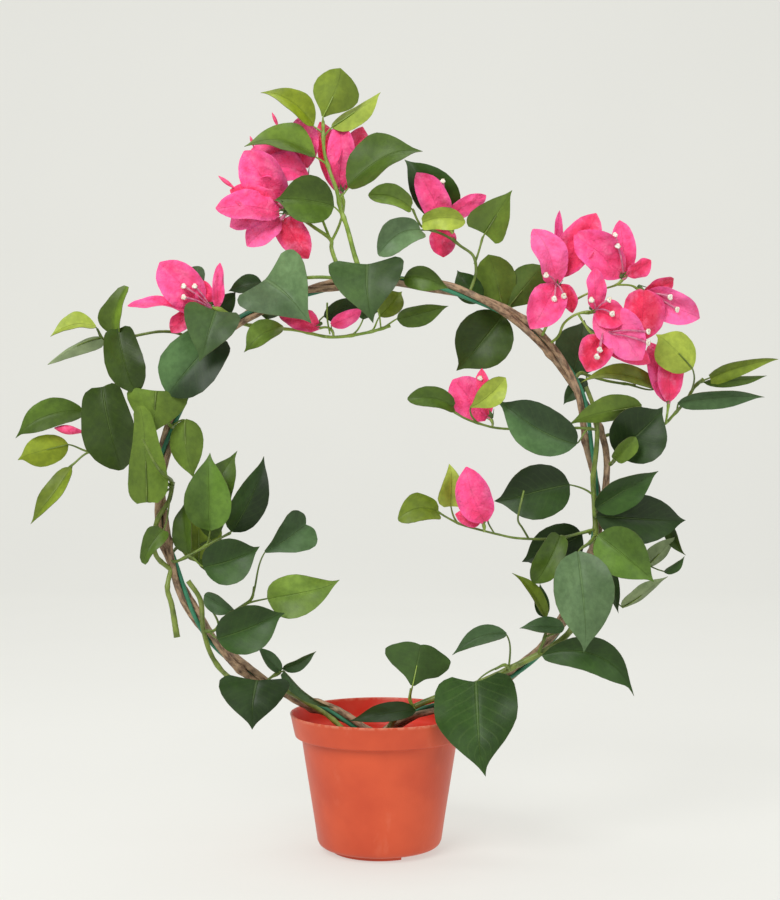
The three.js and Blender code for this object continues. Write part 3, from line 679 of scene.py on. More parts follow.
# %% [markdown]
# ## The planting plan
# Every sprig has one stem, any forks, and its blades. A place is given as it lines up on
# the plane of the hoop when sighted from straight in front, with its depth behind that
# plane beside it, in millimetres. So a sprig can be set forward or back in its own line.

# %% From plan to place
MIX_TOP = 59.3


def place(x, z, depth):
    """The point in the plant's own frame, in millimetres."""
    k = 1 + depth / SIGHT_BACK
    return np.array([SIGHT_X + (x - SIGHT_X) * k, depth, SIGHT_Z + (z - SIGHT_Z) * k])


def on_mix(depth):
    """The sighted height of a foot that stands on the filling at that depth."""
    return SIGHT_Z + (MIX_TOP - SIGHT_Z) / (1 + depth / SIGHT_BACK)


# %% The vines
# Each is its radii at the two ends, then its route.
VINES = {
    "vine_right_low": (2.2, 2.2, [
        (2, on_mix(-17), -17), (4, 78, -16), (12, 95, -11), (26, 103, -9.2), (46, 111, -9.2),
        (72, 120, -9.2), (100, 133, -9.2), (123, 145, -9.2), (138, 157, -9.2),
        (150, 181, -9.2), (156, 206, -9.2)]),
    "vine_right_high": (2.2, 1.6, [
        (157, 214, -9.2), (157, 230, -9.2), (156, 250, -9.4), (155, 268, -9.8),
        (157, 285, -10.5), (158, 303, -11), (156, 318, -10), (150, 335, -9.6)]),
    "vine_left_low": (1.8, 1.7, [
        (-139, 194, -9.2), (-130, 180, -9.2), (-128, 159, -9.2), (-121, 138, -9.2),
        (-109, 124, -9.2), (-90, 117, -9.2), (-68, 114, -9.2), (-50, 104, -9.2),
        (-36, 95, -10.5), (-22, 80, -15), (-17, on_mix(-17), -17)]),
    "vine_left_high": (1.7, 1.7, [
        (-157, 199, -7), (-162, 212, -9.4), (-164, 224, -9.2), (-161, 239, -9.2),
        (-153, 252, -9.2), (-150, 266, -9.2)]),
    "stub_left": (1.6, 2.3, [
        (-154, 200, -4), (-154, 188, -9), (-151, 177, -9), (-147, 153, -10)]),
}
print(len(VINES), "vines")

# %% The leafy sprigs and the blossom
# A sprig is the radii at the two ends of its stem, the routes of the stem and its forks,
# and its blades. A blade is: base x and z, tip x and z, width, depth, depth of the tip,
# turn about its midrib, and its look: a tone, an outline, and "back" where the underside
# faces forward. Two more may follow: the bend of its midrib to the side as a share of its
# length, and how much lighter one half of it is painted than the other, a painted light
# and shade of its fold.
LEAVES = {
    "spray_top": ((2.3, 1.2), [[
        (-14, 418, -9), (-18, 430, -9), (-24, 452, -9), (-28, 463, -9), (-31, 477, -9),
        (-36, 491, -9), (-40, 505, -9), (-41, 528, -10)]], [
        (-41, 531, -27, 565, 38, -12, -12, 0, "olive spoon back", 0.04),
        (-48, 525, -85, 551, 20, -9, -15, 25, "glow ovate", 0.08),
        (-34, 523, 1, 547, 18, -5, 4, -35, "lime ovate back", 0.08),
        (-47, 503, -98, 511, 24, -12, -20, 35, "leaf ovate", 0.12, 0.1),
        (-23, 480, 29, 510, 35, -12, -22, -30, "moss round", -0.06),
        (-33, 466, -76, 472, 38, -16, -26, 0, "moss round", 0.02, -0.1)]),
    "foliage_top": ((1.7, 1.3), [[
        (-94, 403, -9.5), (-80, 409, -10), (-62, 413, -10), (-44, 414.5, -10),
        (-22, 413, -10), (-8, 412, -10), (12, 413, -10)]], [
        (-83, 413, -51, 381, 61, -17, -30, 0, "mist broad", -0.06, -0.12),
        (-9, 424, -6, 382, 59, -16, -26, 0, "sage broad", 0.03, 0.1),
        (-86, 411, -110, 405, 15, -9, -5, 20, "dark ovate"),
        (18, 414, 50, 405, 19, -14, -20, 15, "moss ovate", -0.12, 0.1)]),
    "foliage_under_top": ((1.6, 1.2), [[
        (-100, 381, 7), (-84, 378, 8), (-60, 376, 8), (-36, 371, 8), (-10, 374, 8),
        (8, 379, 8)]], [
        (-70, 379, -98, 360, 20, 4, -4, 20, "fresh round", 0.08),
        (-40, 386, -12, 400, 16, 12, 16, 25, "dark ovate"),
        (13, 384, 50, 393, 17, 9, 3, 30, "moss ovate"),
        (0, 386, 16, 405, 19, 14, 20, 0, "olive round"),
        (-82, 384, -74, 414, 32, 16, 32, 0, "forest round"),
        (-12, 384, -8, 414, 32, 18, 34, 0, "forest round")]),
    "foliage_upper_left": ((1.6, 1.4), [[
        (-116, 382, -10), (-121, 386, -13), (-123, 392, -14)]], [
        (-119, 390, -130, 353, 44, -24, -32, 0, "sage broad", 0, 0.08),
        (-117, 372, -154, 330, 45, -13, -20, 0, "dusk stout", 0, 0.3),
        (-120, 388, -104, 404, 14, -9, -3, 30, "dark ovate"),
        (-135, 401, -132, 423, 16, -5, -1, 0, "dusk stout")]),
    "spray_left_top": ((1.6, 1), [[
        (-131, 363, 6), (-139, 370, 8), (-147, 374, 6), (-159, 375, 2), (-172, 373, 0),
        (-186, 370, -2), (-200, 369, -4), (-205, 377, -5)]], [
        (-190, 377, -178, 331, 30, -10, -16, -10, "deep stout", 0.03, 0.08),
        (-193, 374, -184, 408, 22, -2, -6, -30, "leaf blunt", -0.05, 0.15),
        (-206, 379, -239, 372, 15, -9, -18, 40, "lime ovate", 0.12),
        (-202, 370, -240, 349, 14, -6, -16, 40, "grey wedge back", 0.04)]),
    "foliage_left": ((1.6, 1.2), [[
        (-153, 308, -9), (-160, 316, -12), (-168, 327, -12), (-182, 335, -10)]], [
        (-162, 332, -164, 300, 49, -20, -18, 0, "leaf broad back", 0, 0.08),
        (-201, 335, -187, 275, 42, -2, -6, 0, "deep stout", 0.02, 0.05),
        (-141, 311, -135, 268, 27, -8, -14, 0, "leaf ovate back", 0.04)]),
    "foliage_left_low": ((1.2, 1), [[
        (-151, 262, -12), (-155, 266, -16), (-160, 274, -17)]], [
        (-169, 251, -172, 321, 32, -30, -26, 0, "leaf blunt back", 0.02),
        (-157, 231, -172, 207, 18, -14, -20, 10, "moss blunt", 0.05)]),
    "spray_left_far": ((1.3, 0.8), [[
        (-158, 286, 6), (-172, 292, 8), (-192, 291, 6), (-212, 287, 2), (-222, 279, 0),
        (-226, 276, 0)]], [
        (-214, 317, -265, 299, 24, 2, -8, 10, "moss round", 0.1, 0.1),
        (-226, 293, -263, 283, 25, -2, -10, 0, "glow round back"),
        (-224, 276, -255, 236, 16, -1, -8, 25, "olive ovate", -0.08),
        (-188, 293, -198, 326, 30, 16, 26, 0, "forest ovate")]),
    "foliage_left_inner": ((1.3, 1), [[
        (-148, 208, -9), (-139, 212, -11), (-125, 220, -12), (-108, 229, -12)]], [
        (-123, 231, -124, 287, 37, -17, -22, 0, "bright ovate", 0, 0.1),
        (-122, 224, -102, 288, 30, -8, -8, 0, "moss round", -0.12),
        (-107, 230, -83, 284, 27, -12, -18, 15, "dark ovate", 0.03, -0.2),
        (-128, 204, -87, 218, 36, -24, -30, 0, "forest round", 0.04, 0.12),
        (-139, 214, -142, 252, 18, -8, -3, -30, "moss ovate")]),
    "foliage_left_back": ((1.4, 1.1), [[
        (-150, 215, 9), (-146, 219, 13), (-137, 222, 14)]], [
        (-131, 208, -133, 262, 36, 17, 27, 0, "olive ovate back"),
        (-134, 216, -100, 208, 26, 18, 30, 0, "moss ovate")]),
    "foliage_lower_left": ((1.3, 1), [[
        (-120, 158, -12), (-113, 166, -14), (-104, 173, -14), (-93, 181, -13),
        (-91, 190, -12)]], [
        (-83, 215, -51, 237, 34, -10, -4, 10, "dusk fan", 0.02, 0.1),
        (-81, 181, -29, 192, 34, -16, -24, 8, "fresh ovate", 0, -0.08),
        (-118, 152, -70, 172, 37, -26, -32, 0, "forest round", 0.03, 0.1),
        (-127, 184, -103, 170, 15, -14, -18, 20, "dusk ovate")]),
    "foliage_bottom_left": ((1.3, 1), [[
        (-86, 116, -12), (-80, 123, -14), (-72, 128, -14)]], [
        (-89, 122, -92, 86, 55, -22, -34, 0, "dark broad", 0.04, 0.1),
        (-72, 128, -88, 147, 10, -14, -16, 30, "dusk ovate"),
        (-70, 130, -46, 143, 10, -14, -12, 30, "dusk ovate"),
        (-70, 128, -35, 100, 10, -16, -26, 45, "dusk wedge")]),
    "spray_upper_right": ((1.4, 0.9), [
        [(66, 405, 0), (70, 418, 0), (68, 430, 0), (59, 437, -1), (51, 443, -2),
         (40, 448, -3), (31, 451, -4), (28, 455, -4), (24, 464, -4)],
        [(69, 424, 0), (72, 433, -2), (75, 444, -4)]], [
        (23, 465, -8, 474, 18, -4, -10, 15, "fresh stout", 0.1),
        (30, 449, 0, 431, 25, -12, -22, 0, "mist stout", 0.14),
        (53, 457, 19, 501, 36, 12, 12, 0, "forest ovate", 0, 0.1),
        (31, 454, 62, 455, 17, -14, -18, 20, "lime stout", -0.12),
        (76, 446, 95, 478, 33, -6, -6, 15, "leaf broad back", 0, 0.15)]),
    "foliage_upper_right": ((1.6, 1.4), [[
        (92, 389, 8), (93, 392, 14), (88, 392, 17)]], [
        (90, 390, 80, 431, 34, 19, 16, 0, "leaf spoon back", 0),
        (93, 392, 118, 423, 30, 20, 18, 0, "moss spoon back", 0),
        (90, 387, 57, 346, 46, 18, 14, 0, "deep round", 0),
        (72, 396, 56, 420, 22, 14, 18, 0, "forest ovate")]),
    "spray_inner_high": ((1.2, 0.9), [[
        (156, 304, -12), (144, 305, -12), (120, 304, -11), (85, 305, -10), (73, 308, -10),
        (62, 312, -10), (52, 318, -10)]], [
        (143, 293, 87, 327, 38, -18, -24, 0, "dusk round", -0.08, -0.22),
        (54, 320, 21, 326, 17, -10, -18, 15, "moss stout", 0.1),
        (66, 320, 91, 342, 20, -24, -30, 10, "lime spoon", 0.06)]),
    "spray_inner_low": ((1.2, 0.8), [[
        (154, 231, -12), (143, 228, -12), (131, 225, -12), (100, 225, -11), (85, 228, -10),
        (73, 231, -10), (59, 235, -10), (49, 240, -10), (41, 245, -10)]], [
        (131, 227, 113, 192, 22, -16, -20, 10, "moss stout"),
        (43, 244, 14, 240, 22, -10, -20, 15, "olive stout", 0.14),
        (52, 248, 52, 279, 24, -18, -20, 10, "lime wedge", 0)]),
    "foliage_right_low": ((1.5, 1.2), [[
        (156, 226, -13), (153, 222, -18), (147, 218, -22)]], [
        (144, 215, 151, 142, 47, -30, -38, 0, "mist ovate", 0, 0.05),
        (159, 227, 200, 194, 38, -24, -34, 0, "bright ovate", 0, 0.08)]),
    "foliage_right_back": ((1.4, 1.2), [[
        (160, 236, 9), (158, 232, 13), (152, 228, 15)]], [
        (147, 228, 103, 209, 38, 14, 10, 0, "dark round"),
        (176, 175, 208, 199, 12, 12, 4, 35, "grey ovate back"),
        (194, 205, 215, 227, 15, 10, 6, 20, "grey ovate back"),
        (209, 238, 221, 212, 9, 10, 2, 35, "deep ovate"),
        (207, 200, 222, 211, 8, 8, 2, 30, "forest ovate"),
        (167, 205, 173, 170, 10, 14, 10, 0, "dark ovate")]),
    "foliage_right": ((1.3, 1.2), [[
        (156, 241, -13), (156, 252, -14), (155, 264, -14)]], [
        (138, 264, 84, 250, 43, -18, -26, 0, "dark round", 0.02, -0.15),
        (158, 241, 224, 237, 40, -14, 0, 0, "dark ovate", 0, 0.1),
        (157, 247, 203, 273, 26, -18, -26, 20, "forest ovate", -0.05, 0.1)]),
    "foliage_right_high": ((1.5, 1.2), [[
        (168, 279, -3), (172, 284, -5), (177, 298, -5), (182, 312, -5)]], [
        (172, 286, 207, 319, 46, -8, -18, 0, "dark round", 0, 0.1),
        (171, 282, 186, 298, 15, -18, -24, 20, "leaf stout"),
        (190, 321, 136, 310, 20, -14, -18, -25, "leaf ovate back", 0.05)]),
    "foliage_right_top": ((1.4, 1), [[
        (146, 345, 0), (152, 343, 2), (166, 339, 4), (186, 336, 4)]], [
        (202, 334, 147, 342, 15, -2, -10, 30, "olive ovate", 0.08),
        (140, 343, 148, 384, 42, 20, 20, 0, "dusk round"),
        (150, 340, 133, 322, 14, 12, 16, 0, "dusk ovate")]),
    "spray_right_tip": ((1.5, 1), [[
        (166, 300, 4), (178, 301, 8), (194, 304, 8), (207, 308, 6), (213, 314, 4),
        (221, 323, 2), (229, 335, 0), (235, 341, 0)]], [
        (227, 348, 201, 374, 32, -20, -26, 0, "lime round back"),
        (240, 341, 290, 355, 14, -2, -10, 25, "olive wedge", -0.08),
        (236, 338, 283, 342, 8, 6, 10, 30, "moss ovate"),
        (217, 323, 280, 327, 15, -2, -12, 30, "dusk ovate", -0.08)]),
    "foliage_lower_right": ((1.4, 1), [[
        (116, 143, -12), (119, 150, -14), (121, 160, -13), (120, 168, -12)]], [
        (121, 167, 98, 201, 10, -12, -16, 45, "olive ovate"),
        (134, 160, 102, 161, 13, -16, -20, 30, "dusk ovate"),
        (118, 140, 186, 112, 28, -16, -24, 0, "forest round", -0.21, 0.08),
        (119, 168, 117, 192, 12, -6, -6, 0, "forest ovate")]),
    "foliage_pot_right": ((1.3, 1.1), [[
        (94, 130, -12), (91, 133, -16), (84, 130, -20)]], [
        (70, 121, 74, 53, 64, -28, -60, 8, "forest heart", 0, 0.06),
        (92, 156, 53, 140, 14, -15, -20, 25, "dusk ovate", 0.1)]),
    "foliage_pot": ((1.3, 1.2), [[
        (24, 103, -12), (22, 108, -14), (23, 116, -14)]], [
        (24, 118, 30, 148, 54, -24, 0, 0, "forest fan back", 0),
        (26, 100, -22, 92, 14, -18, -24, 30, "dark ovate")]),
}
# Bracts that lie in shade are given the lightest pink, as painted light.
BLOSSOM = {
    "blossom_top": ((2, 1.1), [
        [(-27, 416, -10), (-31, 424, -10), (-35, 436, -9), (-35, 441, -9), (-48, 451, -10),
         (-60, 459, -10), (-70, 464, -10)],
        [(-35, 440, -9), (-41, 455, -5), (-46, 470, -3), (-54, 489, -3)],
        [(-35, 440, -9), (-29, 453, -2), (-26, 466, -1), (-28, 477, -1)]], [
        (-72, 466, -97, 507, 33, -12, -20, 0, "pink bract"),
        (-74, 464, -108, 479, 22, -16, -24, 0, "rose bract"),
        (-73, 461, -119, 464, 24, -19, -26, 10, "pink bract"),
        (-73, 458, -97, 438, 22, -13, -18, 0, "blush bract"),
        (-70, 456, -52, 428, 24, -11, -18, 0, "red bract"),
        (-57, 492, -94, 507, 25, -5, 0, 20, "pink bract"),
        (-52, 488, -93, 488, 22, -8, -16, 15, "pink bract", 0.12),
        (-76, 464, -108, 450, 22, -15, -20, 0, "blush bract", 0.08),
        (-54, 494, -57, 531, 22, 2, 4, 0, "pink bract"),
        (-30, 478, -29, 527, 22, 2, -2, 0, "pink bract"),
        (-28, 478, -13, 524, 22, 5, 6, 10, "rose bract"),
        (-31, 478, -42, 528, 18, 9, 12, 0, "red bract")]),
    "blossom_upper_right": ((1, 0.9), [[
        (54, 443, 2), (52, 448, 4), (48, 453, 4)]], [
        (47, 453, 28, 491, 23, 2, -4, 0, "pink bract"),
        (48, 455, 78, 473, 14, 4, 2, 20, "pink bract", -0.1),
        (45, 451, 46, 429, 21, 9, 9, 0, "rose bract")]),
    "blossom_left": ((1.2, 1), [[
        (-110, 388, -12), (-116, 391, -16), (-124, 393, -18)]], [
        (-130, 391, -160, 425, 31, -16, -20, 0, "pink bract"),
        (-133, 387, -183, 394, 9, -20, -26, 40, "pink bract"),
        (-136, 389, -152, 375, 14, -19, -19, 0, "rose bract"),
        (-126, 392, -128, 412, 14, -17, -20, 10, "rose bract"),
        (-118, 392, -116, 425, 9, -17, -21, 20, "pink bract")]),
    "blossom_under_top": ((1, 0.9), [[
        (-34, 375, 9), (-38, 378, 5), (-46, 377, 2)]], [
        (-44, 378, -73, 388, 17, 2, -2, 10, "rose bract"),
        (-35, 380, -13, 390, 12, 5, 2, 10, "pink bract")]),
    "blossom_right_high": ((1.3, 0.8), [
        [(119, 374, -9), (122, 380, -12), (129, 386, -13), (135, 393, -13),
         (152, 403, -13), (172, 409, -13), (178, 414, -13)],
        [(129, 386, -13), (128, 396, -14), (129, 408, -14)],
        [(172, 409, -13), (184, 408, -13), (191, 402, -13)]], [
        (128, 409, 113, 450, 26, -14, -20, 10, "blush bract"),
        (128, 408, 111, 377, 29, -17, -24, 0, "pink bract"),
        (131, 409, 141, 389, 13, -13, -16, 0, "red bract"),
        (132, 416, 159, 460, 27, -8, -12, -10, "rose bract"),
        (131, 422, 130, 463, 7, -4, -4, 0, "magenta bract"),
        (176, 416, 141, 446, 30, -12, -18, 0, "pink bract"),
        (178, 416, 175, 456, 19, -6, -8, 0, "pink bract"),
        (180, 416, 197, 427, 13, -16, -20, 20, "rose bract"),
        (192, 403, 214, 413, 13, -10, -8, 20, "red bract"),
        (192, 405, 188, 367, 32, -18, -24, 0, "red bract"),
        (193, 402, 233, 386, 25, -14, -20, 10, "blush bract")]),
    "blossom_right_low": ((1.2, 0.9), [
        [(130, 372, -10), (134, 381, -15), (144, 388, -18), (157, 389, -19)],
        [(144, 388, -18), (152, 376, -21), (160, 368, -24)]], [
        (157, 391, 156, 421, 16, -24, -28, 10, "pink bract"),
        (158, 389, 190, 354, 32, -24, -30, 0, "blush bract"),
        (161, 372, 151, 346, 25, -29, -34, 0, "red bract"),
        (161, 372, 197, 353, 18, -16, -20, 10, "rose bract"),
        (158, 391, 178, 382, 22, -28, -33, 0, "rose bract")]),
    "blossom_right_tip": ((1, 0.9), [[
        (208, 309, 3), (209, 316, 0), (210, 324, -2)]], [
        (209, 325, 196, 367, 22, -2, -4, 0, "pink bract"),
        (210, 325, 211, 366, 20, -5, -6, 0, "rose bract")]),
    "blossom_inner_high": ((1, 0.9), [[
        (82, 306, -6), (82, 309, -1), (80, 313, 1)]], [
        (78, 312, 54, 341, 31, 4, 8, 0, "pink bract"),
        (79, 314, 73, 348, 13, 0, -2, 0, "rose bract")]),
    "blossom_inner_low": ((1, 0.9), [[
        (76, 230, -13), (76, 233, -16), (75, 237, -17)]], [
        (76, 237, 62, 276, 27, -20, -26, 0, "pink bract"),
        (73, 237, 55, 242, 13, -15, -20, 10, "rose bract")]),
}
print(len(LEAVES), "leafy sprigs and", len(BLOSSOM), "of blossom")

# %% [markdown]
# ## One leaf, shaped once
# The leaves are stamped from cloth in a few patterns. A flat grid stands for the cloth:
# each row across it is narrowed to the outline's width there, the first rows are drawn
# back into the lobes at the stalk, and the last is gathered to a point. Every leaf on the
# plant is a copy of one of these patterns, bent into its own shape.

# %% Outlines, and the shaping of a blade
# Rows up the blade and the half width at each, as shares of the length and of the widest,
# and how far the lobes reach back past the stalk.
OUTLINES = {
    "heart": ([(0, 0.56), (0.03, 0.72), (0.08, 0.86), (0.16, 0.96), (0.27, 1), (0.38, 1),
               (0.5, 0.95), (0.6, 0.84), (0.7, 0.65), (0.78, 0.44), (0.85, 0.25), (0.9, 0.12),
               (0.95, 0.05), (1, 0)], 0.04),
    "broad": ([(0, 0.76), (0.05, 0.93), (0.12, 1), (0.25, 0.98), (0.4, 0.87), (0.55, 0.69),
               (0.68, 0.48), (0.78, 0.29), (0.86, 0.14), (0.93, 0.06), (1, 0)], 0.03),
    "ovate": ([(0, 0.05), (0.03, 0.36), (0.08, 0.62), (0.16, 0.84), (0.26, 0.96), (0.38, 1),
               (0.5, 0.95), (0.62, 0.81), (0.73, 0.6), (0.82, 0.38), (0.89, 0.18), (0.94, 0.08),
               (1, 0)], 0.01),
    "round": ([(0, 0.04), (0.04, 0.36), (0.1, 0.6), (0.2, 0.82), (0.35, 0.97), (0.5, 1),
               (0.62, 0.94), (0.73, 0.77), (0.81, 0.53), (0.87, 0.28), (0.91, 0.14),
               (0.96, 0.06), (1, 0)], 0),
    "stout": ([(0, 0.4), (0.03, 0.62), (0.1, 0.76), (0.3, 0.9), (0.5, 1), (0.7, 0.97),
               (0.85, 0.78), (0.95, 0.45), (1, 0.1)], 0.01),
    "spoon": ([(0, 0.06), (0.1, 0.24), (0.2, 0.5), (0.3, 0.74), (0.4, 0.9), (0.55, 1),
               (0.7, 0.95), (0.82, 0.76), (0.92, 0.48), (0.97, 0.2), (1, 0)], 0),
    "blunt": ([(0, 0.5), (0.03, 0.7), (0.1, 0.95), (0.2, 1), (0.4, 0.9), (0.6, 0.66),
               (0.8, 0.5), (0.92, 0.42), (1, 0.2)], 0.01),
    "wedge": ([(0, 0.5), (0.08, 0.85), (0.2, 1), (0.35, 0.93), (0.5, 0.75), (0.65, 0.55),
               (0.8, 0.34), (0.92, 0.14), (1, 0)], 0.01),
    "fan": ([(0, 0.06), (0.2, 0.3), (0.45, 0.7), (0.7, 0.97), (0.85, 1), (0.95, 0.85),
             (1, 0.62)], 0),
    "bract": ([(0, 0.16), (0.06, 0.46), (0.16, 0.78), (0.3, 0.97), (0.44, 1), (0.58, 0.98),
               (0.72, 0.88), (0.84, 0.68), (0.93, 0.4), (1, 0.04)], 0.02),
}
ACROSS, ALONG = 14, 24
FAN_NOTCH = 0.08
TIP_FROM, HOOK_FROM = 0.6, 0.75  # where a blade begins to curl, and to turn aside


def past(y, start):
    """0 up to the start, and rising from there to 1 at the tip."""
    return np.clip((y - start) / (1 - start), 0, 1)


def shaped(name, outline, lobes):
    """A flat blade one unit long along y and one unit from midrib to edge along x."""
    grid = bpy.ops.mesh.primitive_grid_add
    blade = called(added(grid, x_subdivisions=ACROSS, y_subdivisions=ALONG, size=2),
                   "pattern_" + name)
    edit_all()
    bpy.ops.transform.translate(value=(0, 1, 0))
    bpy.ops.transform.resize(value=(1, 0.5, 1), center_override=(0, 0, 0))
    at, wide = zip(*outline)
    for row in range(ALONG + 1):
        y = row / ALONG
        pick(blade, lambda co: abs(co.y - y) < 1e-4)
        width = max(float(np.interp(y, at, wide)), 1e-4)
        bpy.ops.transform.resize(value=(width, 1, 1), center_override=(0, 0, 0))
    bpy.ops.object.mode_set(mode="OBJECT")
    xy = coords(blade.data)
    reach = np.abs(xy[:, 0]) / np.maximum(np.interp(xy[:, 1], at, wide), 1e-4)
    if name == "fan":
        dip = 1 - np.sin(math.pi * 0.75 * reach)
        xy[:, 1] -= FAN_NOTCH * dip * past(xy[:, 1], TIP_FROM)
    xy[:, 1] -= lobes * reach**1.6 * np.clip(1 - xy[:, 1] / 0.5, 0, 1) ** 2
    set_coords(blade.data, xy)
    blade.data.uv_layers[0].name = "blade"
    return blade


PATTERNS = {name: shaped(name, *spec) for name, spec in OUTLINES.items()}
print("patterns:", {name: len(p.data.polygons) for name, p in PATTERNS.items()})

# %% [markdown]
# ## Bending a blade into place
# A leaf is folded along its midrib, arched along its length, a little wavy at the edge,
# and its point curls back and to one side. The same sums that fold the cloth also give
# the line of the midrib, so that the wire of the stalk can be laid along its back. Light
# catches one half of a folded leaf more than the other, and that is painted into the
# colour: one half of each is painted a little lighter, a painted light and shade.

# %% Tones, and one blade in its place
# The lightest pink is given to bracts that lie in shade, as painted light.
TONES = {
    "dark": (32, 56, 12), "forest": (44, 74, 20), "deep": (50, 72, 10), "dusk": (62, 90, 50),
    "sage": (64, 90, 44), "moss": (72, 98, 24), "bright": (84, 116, 38), "leaf": (94, 120, 34),
    "olive": (112, 132, 34), "lime": (158, 176, 64), "fresh": (118, 148, 56),
    "glow": (130, 148, 26), "grey": (130, 146, 106), "mist": (92, 120, 78),
    "pink": (255, 76, 142), "rose": (244, 54, 108), "red": (226, 36, 80),
    "magenta": (224, 62, 132), "blush": (255, 100, 164),
}
CLOTH = {
    "leaf": {
        "fold": 26, "bow": 0.07, "curl": 0.06, "wave": 0.07, "crumple": 0.02, "thick": 0.34,
    },
    "bract": {
        "fold": 22, "bow": 0.12, "curl": 0.03, "wave": 0.2, "crumple": 0.11, "thick": 0.26,
    },
}
CLEAR_VEINS, FAINT_VEINS = 0.2, 0.07
# How strongly the painted light and shade of the two halves of a blade is pushed apart.
PAINTED_LIGHT_CONTRAST = 2.6
FOLD_ROUNDING = 0.012  # rounds the fold at the midrib, so that it isn't a sharp crease
RIB_DEPTHS = 1.05, 0.6  # how far behind the cloth's front the wire runs, in millimetres
RIB_REACH, RIB_POINTS = 0.42, 7  # how far up the blade, as a share of its length


class Blade:
    """The frame of one blade: its base, its directions, its size and how it is bent."""

    def __init__(self, row, style, rng):
        bx, bz, tx, tz, width, depth, tip_depth, turn, look, *more = row
        self.tone, self.outline, *rest = look.split()
        self.flip = -1 if rest else 1
        self.bend = more[0] if more else rng.uniform(-0.04, 0.04)
        # How much lighter one half of the blade is painted: a painted light and shade.
        self.painted_light_half = more[1] if len(more) > 1 else rng.uniform(-0.09, 0.09)
        self.veins = CLEAR_VEINS if self.outline == "heart" else FAINT_VEINS
        self.base = place(bx, bz, depth)
        along = place(tx, tz, tip_depth) - self.base
        self.length = np.linalg.norm(along)
        self.along = along / self.length
        face = np.array([0, -1, 0]) + self.along * self.along[1]
        face = Vector(face / np.linalg.norm(face))
        self.face = np.array(Quaternion(Vector(self.along), math.radians(turn)) @ face)
        self.side = np.cross(self.along, self.face)
        self.half = width / 2 / math.cos(math.radians(turn))
        self.style = style
        self.phase = rng.uniform(0, 2 * math.pi)
        self.curl = style["curl"] * rng.uniform(0.4, 1.6)
        self.wave = style["wave"] * rng.uniform(0.5, 1.4)
        self.hook = rng.choice((-1, 1)) * rng.uniform(0.01, 0.04)

    def at(self, x, y):
        """Places of points x across and y along the flat pattern, in millimetres."""
        style, length, half = self.style, self.length, self.half
        fold = math.radians(style["fold"]) * self.flip
        arch = 4 * y * (1 - y)
        edge = x * x
        bent = np.sqrt(edge + FOLD_ROUNDING) - 0.11
        side = x * half * math.cos(fold) * self.flip + self.bend * length * arch
        side = side + self.hook * length * past(y, HOOK_FROM) ** 2
        rise = style["bow"] * length * arch + bent * half * math.sin(fold)
        ripple = np.sin(5.5 * y + self.phase) * np.sign(x) + np.sin(9 * y - self.phase)
        rise = rise + self.wave * half * ripple * edge
        crumple = np.sin(6 * x + self.phase) * np.sin(11 * y - 2 * self.phase)
        rise = rise + style["crumple"] * half * crumple * np.clip(6 * y, 0, 1)
        rise = rise - self.curl * length * past(y, TIP_FROM) ** 2 * self.flip
        spread = (length * y)[:, None] * self.along + side[:, None] * self.side
        return self.base + spread + rise[:, None] * self.face

    def tone_with_painted_light(self, x):
        """The colour at each point across: the tone, with one half painted lighter than the other
        as painted light and shade.
        """
        # Painted light and shade: one half of the blade is painted lighter and the other darker,
        # as light falls on its fold.
        light = 1 + self.painted_light_half * np.tanh(5 * x * self.flip)
        rows = np.array(linear(TONES[self.tone])) * light[:, None] ** PAINTED_LIGHT_CONTRAST
        return np.c_[rows, np.full(len(x), self.veins)]

    def mesh_of(self, pattern, name):
        """A copy of the pattern, bent into this place, with its tone and its painted light on
        every vertex.
        """
        piece = pattern.copy()
        piece.data = pattern.data.copy()
        piece.name = name
        bpy.context.scene.collection.objects.link(piece)
        flat = coords(pattern.data)
        set_coords(piece.data, self.at(flat[:, 0], flat[:, 1]) * MM)
        tone = piece.data.attributes.new("tone", "FLOAT_COLOR", "POINT")
        tone.data.foreach_set("color", self.tone_with_painted_light(flat[:, 0]).ravel())
        return piece

    def rib(self):
        """Points on the back of the midrib, from the base to part of the way up."""
        line = self.at(np.zeros(RIB_POINTS), np.linspace(0.01, RIB_REACH, RIB_POINTS))
        return line - self.face * self.flip * np.linspace(*RIB_DEPTHS, RIB_POINTS)[:, None]


# %% [markdown]
# ## Stems and stalks
# A moulded stem thickens where a stalk leaves it. The stalk leaves lower down than its
# leaf stands, swings up to it in one easy curve, and runs on along the back of the midrib
# as a thin wire under the cloth.

# %% Finding where things are seated
carriers = [line[::2] for line in HOOP_LINES.values()]
LONGEST_DROP = 9  # the furthest below its nearest point that a stalk leaves, in millimetres


def unit(v):
    return v / max(np.linalg.norm(v), 1e-9)


def seat(points):
    """The place inside the nearest limb where a route begins."""
    every = np.concatenate(carriers)
    return every[np.argmin(np.linalg.norm(every - np.array(points[0]), axis=1))]


def stalk_foot(lines, base):
    """The stem that the stalk of a blade leaves, and the index of the point there."""
    best = None
    for line in lines:
        gaps = np.linalg.norm(line - base, axis=1)
        i = int(np.argmin(gaps))
        if best is None or gaps[i] < best[0]:
            best = (gaps[i], line, i)
    gap, line, i = best
    spacing = np.linalg.norm(line[1] - line[0])
    return line, max(1, i - round(min(gap, LONGEST_DROP) / spacing))


STALK_POINTS = 14
STEM_LEAN, RIB_LEAN = 0.6, 0.75  # how much a stalk's ends follow the stem and the midrib
SWING = 0.35  # the reach of the curve's handles, as a share of the way


